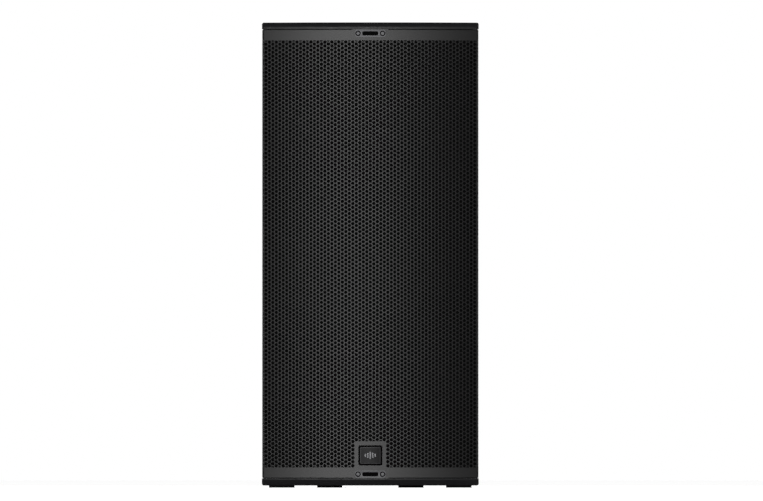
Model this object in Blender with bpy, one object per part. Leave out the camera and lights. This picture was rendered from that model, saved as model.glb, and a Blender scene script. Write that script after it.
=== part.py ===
"""A tall powered PA loudspeaker: a tapered plywood cabinet with two 15-inch woofers, a horn and a rear amplifier.

Metres, +Z up, and the curved grille faces -Y. The origin is on the floor, under the middle of the footprint.
Every piece is one closed solid. Touching pieces keep GAP between them.
"""

import math

import bmesh
import bpy
from mathutils import Matrix, Vector

# Cabinet
WIDTH = 0.5265  # across the front corners before they are rounded, which leaves 0.524
REAR_WIDTH = 0.280
DEPTH = 0.500
FOOT_HEIGHT = 0.006
HEIGHT = 1.124  # feet included
FRONT_RADIUS = 1.320  # the front bulges on this radius in plan
PLY = 0.016
GAP = 0.0003
EDGE_ROUND = 0.006
CORNER_ROUND = 0.005

# Planes across the depth
FRONT_Y = -DEPTH / 2
BACK_Y = DEPTH / 2
BAFFLE_Y = -0.200  # front face of the baffle
REAR_RECESS = 0.022  # the rear wall lies this far inside the cabinet's rear edges
REAR_WALL_Y = BACK_Y - REAR_RECESS - PLY
ARC_CENTRE_Y = FRONT_Y + FRONT_RADIUS

# Heights
FLOOR_TOP = FOOT_HEIGHT + PLY  # upper face of the bottom panel
CEILING = HEIGHT - PLY  # lower face of the top panel
WOOFER_RADIUS = 0.1935
WOOFER_Z = (FLOOR_TOP + 0.206, FLOOR_TOP + 0.605)
SHELF_Z = 0.4275
HORN_Z = 0.965

# Ports, woofers and horn
PORT_WIDTH = 0.056
PORT_HEIGHT = 0.190
PORT_X = 0.168
PORT_LENGTH = 0.108
PORT_WALL = 0.003
BASKET_HOLE = 0.177
COIL_RADIUS = 0.0515
THROAT_RADIUS = 0.018
HORN_MOUTH = (0.112, 0.107)  # half of its width and height
HORN_DEPTH = 0.140
DRIVER_Y = BAFFLE_Y + HORN_DEPTH + GAP  # where the driver meets the horn

# Grille
SHEET = 0.0015
GRILLE_INSET = 0.0023  # behind the panels' front edges
GRILLE_GAP = 0.002  # above and below the grille
GRILLE_LOW = FLOOR_TOP + GRILLE_GAP
GRILLE_HIGH = CEILING - GRILLE_GAP
FLANGE_LENGTH = 0.022
RETURN_DEPTH = 0.012
BEND_RADIUS = 0.004
CLAMP_FROM_EDGE = 0.0266  # clamp's middle to the cabinet's top or bottom face
CLAMP_SIZE = (0.074, 0.0185, 0.002)
CLAMP_SCREW_X = 0.0297
CLAMP_SLOT = (0.038, 0.0100)
BADGE_SIZE = (0.052, 0.044)
BADGE_HOLE = (0.057, 0.049)
BADGE_Z = 0.078

# Amplifier
AMP_Z = 0.360
AMP_PLATE = (0.236, 0.444, 0.003)
AMP_CUTOUT = (0.208, 0.416)
AMP_DEPTH = 0.108
PLATE_FACE_Y = BACK_Y - REAR_RECESS + GAP + AMP_PLATE[2]  # outer face of the amplifier plate
ENCODER = (0.048, 0.520)
SOCKETS = ((-0.062, 0.446), (-0.020, 0.446))
SOCKET_BODY = 0.0112
SOCKET_FLANGE = 0.002
TAB_Z = 0.0118  # latch tab above the socket's middle
INLET = (0.0, 0.176)
ROCKER_X = 0.022
HEAT_SINK_Z = (0.222, 0.402)

# Side handles
HANDLE_Y = 0.013
HANDLE_Z = 0.640
HANDLE_OPENING = (0.160, 0.092)
HANDLE_DEPTH = 0.055
BAR_Z = 0.012  # above the dish's middle
BAR_DEPTH = 0.016

FEET = {"front": (0.214, -0.190), "rear": (0.099, 0.200)}
FOOT_SIZE = (0.061, 0.040)
FLY_POINT = (0.150, -0.060)
TURN_STEPS = 20

CORNER_Y = ARC_CENTRE_Y - math.sqrt(FRONT_RADIUS**2 - (WIDTH / 2) ** 2)  # where the front meets the sides
TAPER = math.atan2((WIDTH - REAR_WIDTH) / 2, BACK_Y - CORNER_Y)

SIDES = {"left": -1, "right": 1}
ENDS = {"bottom": FOOT_HEIGHT + CLAMP_FROM_EDGE, "top": HEIGHT - CLAMP_FROM_EDGE}


# ---------------------------------------------------------------- materials


def material(name, colour, roughness, metallic=0.0):
    """A Principled material."""
    made = bpy.data.materials.new(name)
    made.use_nodes = True
    shader = made.node_tree.nodes["Principled BSDF"]
    shader.inputs["Base Color"].default_value = (*colour, 1)
    shader.inputs["Roughness"].default_value = roughness
    shader.inputs["Metallic"].default_value = metallic
    return made


def make_materials():
    """Every finish, by name."""
    return {
        "paint": material("textured_paint", (0.013, 0.013, 0.014), 0.55),
        "plywood": material("birch_plywood", (0.42, 0.27, 0.14), 0.6),
        "grille": material("powder_coated_steel", (0.045, 0.045, 0.047), 0.5, 0.3),
        "cloth": material("scrim_cloth", (0.006, 0.006, 0.006), 0.95),
        "badge": material("satin_badge", (0.05, 0.05, 0.05), 0.4),
        "steel": material("black_steel", (0.10, 0.10, 0.10), 0.4, 0.9),
        "screw": material("zinc_screw", (0.30, 0.30, 0.30), 0.35, 1.0),
        "rubber": material("rubber", (0.010, 0.010, 0.010), 0.85),
        "cast": material("cast_aluminium", (0.05, 0.05, 0.05), 0.5, 0.6),
        "magnet": material("ferrite_magnet", (0.05, 0.05, 0.055), 0.6, 0.4),
        "paper": material("doped_paper", (0.015, 0.015, 0.015), 0.8),
        "cambric": material("treated_cambric", (0.02, 0.02, 0.02), 0.85),
        "spider": material("phenolic_cloth", (0.45, 0.28, 0.10), 0.9),
        "former": material("voice_coil_former", (0.55, 0.30, 0.10), 0.4, 0.5),
        "plastic": material("moulded_plastic", (0.015, 0.015, 0.015), 0.5),
        "titanium": material("titanium_foil", (0.55, 0.53, 0.50), 0.3, 1.0),
        "aluminium": material("anodised_aluminium", (0.02, 0.02, 0.02), 0.4, 0.8),
        "zinc": material("zinc_sheet", (0.55, 0.56, 0.58), 0.35, 1.0),
        "board": material("circuit_board", (0.02, 0.12, 0.05), 0.5),
        "cable": material("cable_sheath", (0.01, 0.01, 0.01), 0.6),
    }


# ---------------------------------------------------------------- shape tools


def add(name, bm, finish, smooth=True):
    """The object of a bmesh, with its faces outwards and its round faces smooth."""
    bmesh.ops.recalc_face_normals(bm, faces=bm.faces[:])
    mesh = bpy.data.meshes.new(name)
    bm.to_mesh(mesh)
    bm.free()
    if smooth:
        mesh.shade_smooth()
        mesh.set_sharp_from_angle(angle=math.radians(35))
    if finish:
        mesh.materials.append(finish)
    obj = bpy.data.objects.new(name, mesh)
    bpy.context.scene.collection.objects.link(obj)
    return obj


def cut(obj, cutters):
    """Cuts shapes out of an object; each cutter is a bmesh."""
    for number, bm in enumerate(cutters):
        cutter = add(f"{obj.name}_cutter_{number}", bm, None, smooth=False)
        cutter.hide_render = True
        cutter.display_type = "WIRE"
        cutter.parent = obj
        modifier = obj.modifiers.new("cut", "BOOLEAN")
        modifier.operation = "DIFFERENCE"
        modifier.solver = "EXACT"
        modifier.object = cutter
    return obj


def join(obj, name, bm):
    """Fuses an overlapping shape onto an object."""
    block = add(name, bm, None, smooth=False)
    block.hide_render = True
    block.display_type = "WIRE"
    block.parent = obj
    modifier = obj.modifiers.new(name, "BOOLEAN")
    modifier.operation = "UNION"
    modifier.solver = "EXACT"
    modifier.object = block


def prism(outline, low, high, axis="Z"):
    """An outline carried along an axis: its points are (x, y) along Z, (x, z) along Y and (y, z) along X."""
    place = {
        "X": lambda a, b, c: (c, a, b),
        "Y": lambda a, b, c: (a, c, b),
        "Z": lambda a, b, c: (a, b, c),
    }[axis]
    bm = bmesh.new()
    face = bm.faces.new([bm.verts.new(place(a, b, low)) for a, b in outline])
    made = bmesh.ops.extrude_face_region(bm, geom=[face])["geom"]
    moved = [v for v in made if isinstance(v, bmesh.types.BMVert)]
    bmesh.ops.translate(bm, verts=moved, vec=Vector(place(0, 0, high - low)))
    return bm


def turned(profile, steps=TURN_STEPS, closed=True):
    """A profile of (radius, y) points turned round the Y axis; an open profile starts and ends on the axis."""
    bm = bmesh.new()
    verts = [bm.verts.new((radius, y, 0)) for radius, y in profile]
    ends = verts[1:] + verts[:1] if closed else verts[1:]
    edges = [bm.edges.new(pair) for pair in zip(verts, ends)]
    bmesh.ops.spin(
        bm, geom=verts + edges, cent=(0, 0, 0), axis=(0, 1, 0), dvec=(0, 0, 0), angle=math.tau, steps=steps,
        use_merge=True,
    )
    bmesh.ops.remove_doubles(bm, verts=bm.verts[:], dist=1e-6)
    return bm


def loft(rings, loop=False):
    """Rings of equal counts joined one to the next; a loop joins the last to the first, otherwise both are capped."""
    bm = bmesh.new()
    made = [[bm.verts.new(point) for point in ring] for ring in rings]
    pairs = list(zip(made, made[1:]))
    if loop:
        pairs.append((made[-1], made[0]))
    else:
        bm.faces.new(made[0])
        bm.faces.new(made[-1])
    for first, second in pairs:
        for k in range(len(first)):
            after = (k + 1) % len(first)
            bm.faces.new((first[k], first[after], second[after], second[k]))
    return bm


def rounded_rectangle(width, height, radius, steps=3):
    """Points round a rectangle with round corners, about its middle."""
    points = []
    for quarter in range(4):
        angle = quarter * math.pi / 2
        sign_x = 1 if quarter in (0, 3) else -1
        sign_y = 1 if quarter in (0, 1) else -1
        centre = (sign_x * (width / 2 - radius), sign_y * (height / 2 - radius))
        for k in range(steps + 1):
            turn = angle + k / steps * math.pi / 2
            points.append((centre[0] + radius * math.cos(turn), centre[1] + radius * math.sin(turn)))
    return points


def shifted(outline, dx, dy):
    return [(a + dx, b + dy) for a, b in outline]


def circle(radius, x=0.0, y=0.0, steps=TURN_STEPS):
    turns = [k / steps * math.tau for k in range(steps)]
    return [(x + radius * math.cos(t), y + radius * math.sin(t)) for t in turns]


def bevel_edges(bm, chosen, offset, segments):
    """Rounds the edges whose two ends pass the test."""
    edges = [e for e in bm.edges if chosen(e.verts[0].co, e.verts[1].co)]
    bmesh.ops.bevel(
        bm, geom=edges, offset=offset, segments=segments, profile=0.5, affect="EDGES", clamp_overlap=True
    )


def moved(bm, matrix):
    bmesh.ops.transform(bm, matrix=matrix, verts=bm.verts[:])
    return bm


def front_y(x, inset):
    """The front arc's y at x, for an arc that lies inset behind the panels' front edge."""
    return ARC_CENTRE_Y - math.sqrt((FRONT_RADIUS - inset) ** 2 - x * x)


def front_arc(half_width, inset, steps=20):
    """Points along the front arc from left to right."""
    xs = [half_width * (2 * k / steps - 1) for k in range(steps + 1)]
    return [(x, front_y(x, inset)) for x in xs]


def side_point(along, inward, side=1):
    """A plan point on a side wall: along it from its front corner, and inward from its outer face."""
    x = WIDTH / 2 - along * math.sin(TAPER) - inward * math.cos(TAPER)
    y = CORNER_Y + along * math.cos(TAPER) - inward * math.sin(TAPER)
    return (side * x, y)


def bend_centre(inset, inward, radius):
    """The middle of a bend that joins an arc inset behind the front to a line inward of the side wall."""
    start = Vector(side_point(0, inward + radius)) - Vector((0, ARC_CENTRE_Y))
    along = Vector((-math.sin(TAPER), math.cos(TAPER)))
    reach = FRONT_RADIUS - inset - radius
    middle = start.dot(along)
    travel = -middle - math.sqrt(middle**2 - start.length_squared + reach**2)
    return Vector((0, ARC_CENTRE_Y)) + start + travel * along


def half_width(y, inward=0.0):
    """Half of the cabinet's width at depth y, measured to a plane that lies inward of the outer face."""
    return WIDTH / 2 - (y - CORNER_Y) * math.tan(TAPER) - inward / math.cos(TAPER)


# ---------------------------------------------------------------- cabinet


def flat_panel(name, low, high, outer, finish):
    """The top or bottom panel: a tapered board with a curved front, its outer rim and upright corners rounded."""
    outline = [*front_arc(WIDTH / 2, 0.0), (REAR_WIDTH / 2, BACK_Y), (-REAR_WIDTH / 2, BACK_Y)]
    bm = prism(outline, low, high)
    corners = [(s * WIDTH / 2, CORNER_Y) for s in (-1, 1)] + [(s * REAR_WIDTH / 2, BACK_Y) for s in (-1, 1)]

    def upright_corner(a, b):
        at_corner = any(math.dist(a[:2], c) < 1e-5 and math.dist(b[:2], c) < 1e-5 for c in corners)
        return at_corner and abs(a.z - b.z) > PLY / 2

    bevel_edges(bm, upright_corner, CORNER_ROUND, 3)
    bevel_edges(bm, lambda a, b: abs(a.z - outer) < 1e-5 and abs(b.z - outer) < 1e-5, EDGE_ROUND, 3)
    return add(name, bm, finish)


def fly_point_profile(grow=0.0):
    """Half section of a flush threaded fly point, grown all round for the hole that takes it; y runs downwards."""
    return [
        (0.0190 + grow, -grow), (0.0190 + grow, 0.0024 + grow), (0.0130 + grow, 0.0024 + grow),
        (0.0130 + grow, 0.0280),
    ]


def make_top_and_bottom(finishes):
    top = flat_panel("top_panel", CEILING, HEIGHT, HEIGHT, finishes["paint"])
    flat_panel("bottom_panel", FOOT_HEIGHT, FLOOR_TOP, FOOT_HEIGHT, finishes["paint"])
    down = Matrix.Rotation(-math.pi / 2, 4, "X")
    cutters = []
    for side, sign in SIDES.items():
        place = Matrix.Translation((sign * FLY_POINT[0], FLY_POINT[1], HEIGHT)) @ down
        hole = turned([(0, -GAP * 2), *fly_point_profile(GAP)[:3], (0.0130 + GAP, 0.03), (0, 0.03)], closed=False)
        cutters.append(moved(hole, place))
        profile = [(0, 0.0220), (0.0043, 0.0220), (0.0043, 0), *fly_point_profile(), (0, 0.0280)]
        body = turned(profile, closed=False)
        add(f"fly_point_{side}", moved(body, place), finishes["steel"])
    cut(top, cutters)


def make_sides(finishes):
    """The two tapered side walls, rebated at the front for the grille's flange and open where the handle goes."""
    rebate = SHEET + 0.0008
    for side, sign in SIDES.items():
        outline = [
            side_point(0.006, rebate, sign), side_point(FLANGE_LENGTH + 0.0025, rebate, sign),
            side_point(FLANGE_LENGTH + 0.0025, 0, sign), (sign * REAR_WIDTH / 2, BACK_Y),
            (sign * half_width(BACK_Y, PLY), BACK_Y), side_point(0.011, PLY, sign),
        ]
        bm = prism(outline, FLOOR_TOP + GAP, CEILING - GAP)
        rear = (sign * REAR_WIDTH / 2, BACK_Y)
        bevel_edges(bm, lambda a, b: math.dist(a[:2], rear) < 1e-5 and math.dist(b[:2], rear) < 1e-5, EDGE_ROUND, 3)
        panel = add(f"{side}_side_panel", bm, finishes["paint"])
        margin = 0.005
        outline = rounded_rectangle(HANDLE_OPENING[0] + 2 * margin, HANDLE_OPENING[1] + 2 * margin, 0.014)
        cut(panel, [moved(prism(outline, -0.03, 0.05, "Y"), handle_place(sign))])


def make_inner_walls(finishes):
    """The baffle that carries the drivers, the rear wall round the amplifier and the shelf that ties them."""
    low, high = FLOOR_TOP + GAP, CEILING - GAP
    front, back = BAFFLE_Y, BAFFLE_Y + PLY

    def board(y0, y1, z0, z1):
        near, far = half_width(y0, PLY) - GAP, half_width(y1, PLY) - GAP
        return prism([(-near, y0), (near, y0), (far, y1), (-far, y1)], z0, z1)

    baffle = add("front_baffle", board(front, back, low, high), finishes["plywood"], smooth=False)
    holes = [prism(circle(BASKET_HOLE, 0, z, 32), front - 0.01, back + 0.01, "Y") for z in WOOFER_Z]
    holes.append(prism(shifted(rounded_rectangle(0.234, 0.224, 0.020), 0, HORN_Z), front - 0.01, back + 0.01, "Y"))
    for sign in SIDES.values():
        outline = shifted(stadium(PORT_WIDTH / 2 + 0.0035, PORT_HEIGHT / 2 + 0.0035), sign * PORT_X, HORN_Z)
        holes.append(prism(outline, front - 0.01, back + 0.01, "Y"))
        for z in ENDS.values():
            holes.append(prism(circle(0.0028, sign * CLAMP_SCREW_X, z, 10), front - 0.01, back + 0.01, "Y"))
    cut(baffle, holes)

    rear = add("rear_panel", board(REAR_WALL_Y, REAR_WALL_Y + PLY, low, high), finishes["plywood"], smooth=False)
    opening = shifted(rounded_rectangle(*AMP_CUTOUT, 0.004, 2), 0, AMP_Z)
    cut(rear, [prism(opening, REAR_WALL_Y - 0.01, REAR_WALL_Y + PLY + 0.01, "Y")])

    shelf_back = 0.100
    bm = board(back + GAP, shelf_back, SHELF_Z - PLY / 2, SHELF_Z + PLY / 2)
    shelf = add("shelf_brace", bm, finishes["plywood"], smooth=False)
    window = [(-0.130, -0.130), (0.130, -0.130), (0.100, 0.055), (-0.100, 0.055)]
    cut(shelf, [prism(window, SHELF_Z - PLY, SHELF_Z + PLY)])


# ---------------------------------------------------------------- ports


def stadium(half_x, half_z, steps=6):
    """Points round an upright stadium: a rectangle with half-circle ends."""
    straight = half_z - half_x
    points = []
    for start, centre in ((0.0, straight), (math.pi, -straight)):
        for k in range(steps + 1):
            turn = start + k / steps * math.pi
            points.append((half_x * math.cos(turn), centre + half_x * math.sin(turn)))
    return points


def make_ports(finishes):
    """Two flared bass-reflex tubes beside the horn, each with a flange on the baffle's front."""
    flange = 0.004
    back = BAFFLE_Y + PORT_LENGTH
    front = BAFFLE_Y - GAP - flange
    for side, sign in SIDES.items():

        def ring(grow, y):
            outline = stadium(PORT_WIDTH / 2 + grow, PORT_HEIGHT / 2 + grow)
            return [(sign * PORT_X + a, y, HORN_Z + b) for a, b in outline]

        rings = [
            ring(0.004, front), ring(0.001, front + 0.004), ring(0.0, front + 0.012), ring(0.0, back - 0.008),
            ring(0.003, back), ring(0.0055, back), ring(PORT_WALL, back - 0.010),
            ring(PORT_WALL, BAFFLE_Y - GAP), ring(0.008, BAFFLE_Y - GAP), ring(0.008, front),
        ]
        add(f"port_tube_{side}", loft(rings, loop=True), finishes["plastic"])


# ---------------------------------------------------------------- woofers


def basket_profile():
    """Half section of the cast basket as (radius, y behind the baffle's front)."""
    outer = [
        (0.1935, -0.0053), (0.1935, -GAP), (0.1755, -GAP), (0.1735, 0.008), (0.1115, 0.090), (0.099, 0.092),
        (0.087, 0.112), (0.058, 0.112),
    ]
    inner = [(0.058, 0.109), (0.0845, 0.109), (0.0965, 0.0885), (0.1085, 0.088), (0.1705, 0.006), (0.172, -0.0053)]
    return outer + inner


def basket_windows(count=8, share=0.62):
    """Cutters that open the basket's cone between its spokes, as wedges round the axis."""
    bm = bmesh.new()
    half = share * math.pi / count
    for k in range(count):
        middle = (k + 0.5) / count * math.tau
        corners = []
        for y, low, high in ((0.018, 0.135, 0.200), (0.078, 0.090, 0.160)):
            for radius in (low, high):
                for turn in (middle - half, middle + half):
                    corners.append(bm.verts.new((radius * math.cos(turn), y, radius * math.sin(turn))))
        for face in ((0, 1, 3, 2), (4, 6, 7, 5), (0, 4, 5, 1), (2, 3, 7, 6), (0, 2, 6, 4), (1, 5, 7, 3)):
            bm.faces.new([corners[i] for i in face])
    return bm


def corrugated(inner, outer, y, height, waves, thickness, per_wave=2):
    """A closed half section of a rippled annulus: its front side outwards, and its back side home."""
    steps = waves * per_wave
    front = []
    for k in range(steps + 1):
        radius = inner + (outer - inner) * k / steps
        ripple = height if k % 2 else 0.0
        front.append((radius, y - ripple))
    return front + [(radius, depth + thickness) for radius, depth in reversed(front)]


def make_woofer(label, z, finishes):
    """A 15-inch woofer on the baffle: basket, magnet system, spider, surround and the cone with its coil."""
    place = Matrix.Translation((0, BAFFLE_Y, z))

    def piece(part, bm, finish):
        return add(f"{label}_woofer_{part}", moved(bm, place), finishes[finish])

    basket = piece("basket", turned(basket_profile()), "cast")
    cut(basket, [moved(basket_windows(), place)])
    magnet = [
        (0.014, 0.1125), (0.0495, 0.1125), (0.0495, 0.148), (0.0545, 0.148), (0.0545, 0.1123), (0.085, 0.1123),
        (0.085, 0.122), (0.098, 0.122), (0.098, 0.147), (0.080, 0.147), (0.080, 0.158), (0.014, 0.158),
    ]
    piece("magnet", turned(magnet), "magnet")
    cone = [
        (0.0, 0.044), (0.030, 0.048), (0.055, 0.0635), (0.090, 0.040), (0.125, 0.017), (0.152, 0.0005),
        (0.152, 0.0020), (0.125, 0.0188), (0.090, 0.042), (0.057, 0.068), (0.050, 0.070), (0.028, 0.050),
        (0.0, 0.046),
    ]
    piece("cone", turned(cone, closed=False), "paper")
    coil = [(COIL_RADIUS - 0.0005, 0.0705), (COIL_RADIUS + 0.0005, 0.0705), (COIL_RADIUS + 0.0005, 0.134),
            (COIL_RADIUS - 0.0005, 0.134)]
    piece("voice_coil", turned(coil), "former")
    surround = [
        (0.1525, 0.0005), (0.1570, -0.0100), (0.1620, -0.0045), (0.1670, -0.0100), (0.1705, -0.0068),
        (0.1860, -0.0068), (0.1860, -0.0057), (0.1710, -0.0057), (0.1670, -0.0088), (0.1620, -0.0033),
        (0.1572, -0.0088), (0.1530, 0.0018),
    ]
    piece("surround", turned(surround), "cambric")
    spider = corrugated(COIL_RADIUS + 0.0008, 0.1060, 0.0866, 0.0035, 2, 0.0010)
    piece("spider", turned(spider), "spider")


# ---------------------------------------------------------------- horn and its driver


def make_horn(finishes):
    """A horn whose sections turn from a rounded rectangle at the mouth to a circle at the throat."""
    front = BAFFLE_Y - GAP - 0.005
    count = 20

    def section(share, y, grow=0.0):
        """A superellipse; share runs from 0 at the throat to 1 at the mouth."""
        flare = share**1.6
        half_x = THROAT_RADIUS + (HORN_MOUTH[0] - THROAT_RADIUS) * flare + grow
        half_z = THROAT_RADIUS + (HORN_MOUTH[1] - THROAT_RADIUS) * flare + grow
        power = 2 + 6 * share
        ring = []
        for k in range(count):
            turn = (k + 0.5) / count * math.tau
            c, s = math.cos(turn), math.sin(turn)
            radius = (abs(c / half_x) ** power + abs(s / half_z) ** power) ** (-1 / power)
            ring.append((radius * c, y, HORN_Z + radius * s))
        return ring

    throat = DRIVER_Y - GAP
    shares = [1.0, 0.85, 0.66, 0.45, 0.25, 0.0]
    inner = [section(s, throat + (front - throat) * s) for s in shares]
    wall = 0.0035
    outer = [section(s, throat + (front - throat) * s, wall) for s in (0.12, 0.25, 0.45, 0.66, 0.85)]
    bolting_flange = [
        section(0.0, throat, 0.030), section(0.0, throat - 0.006, 0.030), section(0.0, throat - 0.0065, 0.006)
    ]
    rim = [
        section(1.0, BAFFLE_Y - GAP, wall - 0.0005), section(1.0, BAFFLE_Y - GAP, 0.014),
        section(1.0, front, 0.014),
    ]
    add("horn", loft([*inner, *bolting_flange, *outer, *rim], loop=True), finishes["plastic"])


def make_compression_driver(finishes):
    """The horn's driver: magnet system, phase plug, titanium dome and rear cover, all round the horn's axis."""
    place = Matrix.Translation((0, DRIVER_Y, HORN_Z))

    def piece(name, profile, finish, closed):
        return add(name, moved(turned(profile, closed=closed), place), finishes[finish])

    motor = [
        (THROAT_RADIUS, 0.0), (0.060, 0.0), (0.075, 0.006), (0.075, 0.050), (0.0415, 0.050), (0.0415, 0.036),
        (0.0385, 0.036), (0.0385, 0.050), (0.0362, 0.050), (0.0362, 0.030), (0.022, 0.030),
    ]
    piece("driver_magnet", motor, "magnet", True)
    plug = [(0.0, 0.004), (0.010, 0.022), (0.0145, 0.0303), (0.0355, 0.0303), (0.0355, 0.049), (0.020, 0.054),
            (0.0, 0.0565)]
    piece("phase_plug", plug, "plastic", False)
    dome = [
        (0.0, 0.0600), (0.020, 0.0575), (0.0370, 0.0520), (0.0396, 0.0517), (0.0396, 0.0400), (0.0404, 0.0400),
        (0.0404, 0.0512), (0.0520, 0.0512), (0.0520, 0.0522), (0.0385, 0.0530), (0.0205, 0.0587), (0.0, 0.0612),
    ]
    piece("driver_diaphragm", dome, "titanium", False)
    cover = [(0.0, 0.078), (0.054, 0.078), (0.0585, 0.074), (0.0585, 0.0503), (0.0640, 0.0503), (0.0640, 0.076),
             (0.058, 0.082), (0.0, 0.082)]
    piece("driver_cover", cover, "plastic", False)


# ---------------------------------------------------------------- grille and its fittings


def make_grille(finishes):
    """The curved front sheet with flanges down its sides and returns along its top and bottom edges."""
    flange_inward = 0.0002
    centre = bend_centre(GRILLE_INSET, flange_inward, BEND_RADIUS)
    first = math.atan2(centre.y - ARC_CENTRE_Y, centre.x)
    right = []
    for k in range(4):
        turn = first + (TAPER - first) * k / 3
        right.append((centre.x + BEND_RADIUS * math.cos(turn), centre.y + BEND_RADIUS * math.sin(turn)))
    right.append(side_point(FLANGE_LENGTH, flange_inward))
    left = [(-x, y) for x, y in reversed(right)]
    arc = front_arc(0.240, GRILLE_INSET)
    path = left + arc + right
    arc_range = range(len(left) + 1, len(left) + len(arc) - 1)

    bm = bmesh.new()

    def row(z, inset=0.0):
        return {i: bm.verts.new((path[i][0], path[i][1] + inset, z)) for i in range(len(path))
                if not inset or i in arc_range}

    rows = [row(GRILLE_LOW, RETURN_DEPTH), row(GRILLE_LOW), row(GRILLE_HIGH), row(GRILLE_HIGH, RETURN_DEPTH)]
    for below, above in zip(rows, rows[1:]):
        for i in range(len(path) - 1):
            corners = (below.get(i), below.get(i + 1), above.get(i + 1), above.get(i))
            if None not in corners:
                bm.faces.new(corners)
    grille = add("grille", bm, finishes["grille"])
    if max(grille.data.polygons, key=lambda face: face.area).normal.y > 0:
        grille.data.flip_normals()
    thick = grille.modifiers.new("sheet", "SOLIDIFY")
    thick.thickness = SHEET
    thick.offset = -1
    thick.use_even_offset = True
    span = (FRONT_Y - 0.01, FRONT_Y + 0.03)
    hole = shifted(rounded_rectangle(*BADGE_HOLE, 0.002, 2), 0, BADGE_Z)
    screw_holes = [
        prism(circle(0.0030, sign * CLAMP_SCREW_X, z, 10), *span, "Y") for sign in SIDES.values() for z in ENDS.values()
    ]
    cut(grille, [prism(hole, *span, "Y"), *screw_holes])

    cloth_half, thickness = 0.243, 0.0008
    inset = GRILLE_INSET + SHEET + 0.0022
    outline = front_arc(cloth_half, inset) + front_arc(cloth_half, inset + thickness)[::-1]
    cloth = add("grille_cloth", prism(outline, GRILLE_LOW + 0.004, GRILLE_HIGH - 0.004), finishes["cloth"])
    cut(cloth, [prism(circle(0.0032, sign * CLAMP_SCREW_X, z, 10), *span, "Y")
                for sign in SIDES.values() for z in ENDS.values()])


def make_clamps(finishes):
    """The two plates that hold the grille, each with a slot and two sunk screws that run back to the baffle."""
    front, back = FRONT_Y, FRONT_Y + CLAMP_SIZE[2]
    for end, z in ENDS.items():
        outline = shifted(rounded_rectangle(CLAMP_SIZE[0], CLAMP_SIZE[1], 0.004), 0, z)
        plate = add(f"grille_clamp_{end}", prism(outline, front, back, "Y"), finishes["grille"])
        slot = shifted(rounded_rectangle(*CLAMP_SLOT, 0.0025), 0, z)
        cutters = [prism(slot, front - 0.001, back + 0.001, "Y")]
        for side, sign in SIDES.items():
            seat = [(0, -0.001), (0.0062, -0.001), (0.0062, 0.0012), (0.0028, 0.0012), (0.0028, 0.004), (0, 0.004)]
            place = Matrix.Translation((sign * CLAMP_SCREW_X, front, z))
            cutters.append(moved(turned(seat, 12, closed=False), place))
            screw = [(0, 0.0003), (0.0037, 0.0003), (0.0037, 0.0009), (0.0024, 0.0009), (0.0024, 0.0600),
                     (0.0014, 0.0620), (0, 0.0620)]
            add(f"clamp_screw_{end}_{side}", moved(turned(screw, 10, closed=False), place), finishes["screw"])
        cut(plate, cutters)


def make_badge(finishes):
    """A plain badge in the grille's window, held by a wider flange behind the sheet."""
    face = rounded_rectangle(*BADGE_SIZE, 0.002, 2)
    step = rounded_rectangle(BADGE_SIZE[0] - 0.004, BADGE_SIZE[1] - 0.004, 0.0015, 2)
    flange = rounded_rectangle(BADGE_HOLE[0] + 0.006, BADGE_HOLE[1] + 0.006, 0.003, 2)
    front = FRONT_Y + 0.0004
    behind = FRONT_Y + GRILLE_INSET + SHEET + GAP * 2 + 0.0004
    layers = [(step, front + 0.0008), (step, front), (face, front), (face, behind), (flange, behind),
              (flange, behind + 0.0010)]
    rings = [[(a, y, BADGE_Z + b) for a, b in outline] for outline, y in layers]
    add("badge", loft(rings), finishes["badge"])


# ---------------------------------------------------------------- feet and handles


def make_feet(finishes):
    """Four rubber feet, chamfered round the floor side."""
    for row, (x, y) in FEET.items():
        for side, sign in SIDES.items():
            bm = prism(rounded_rectangle(*FOOT_SIZE, 0.004), 0.0, FOOT_HEIGHT - GAP)
            bevel_edges(bm, lambda a, b: a.z < 1e-5 and b.z < 1e-5, 0.0015, 1)
            foot = add(f"{row}_foot_{side}", bm, finishes["rubber"])
            foot.location = (sign * x, y, 0)


def handle_place(sign):
    """Carries a handle made about the origin, opening towards -Y, to the outer face of a side wall."""
    turn = Matrix.Rotation(sign * (math.pi / 2 + TAPER), 4, "Z")
    return Matrix.Translation((sign * half_width(HANDLE_Y), HANDLE_Y, HANDLE_Z)) @ turn


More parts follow.
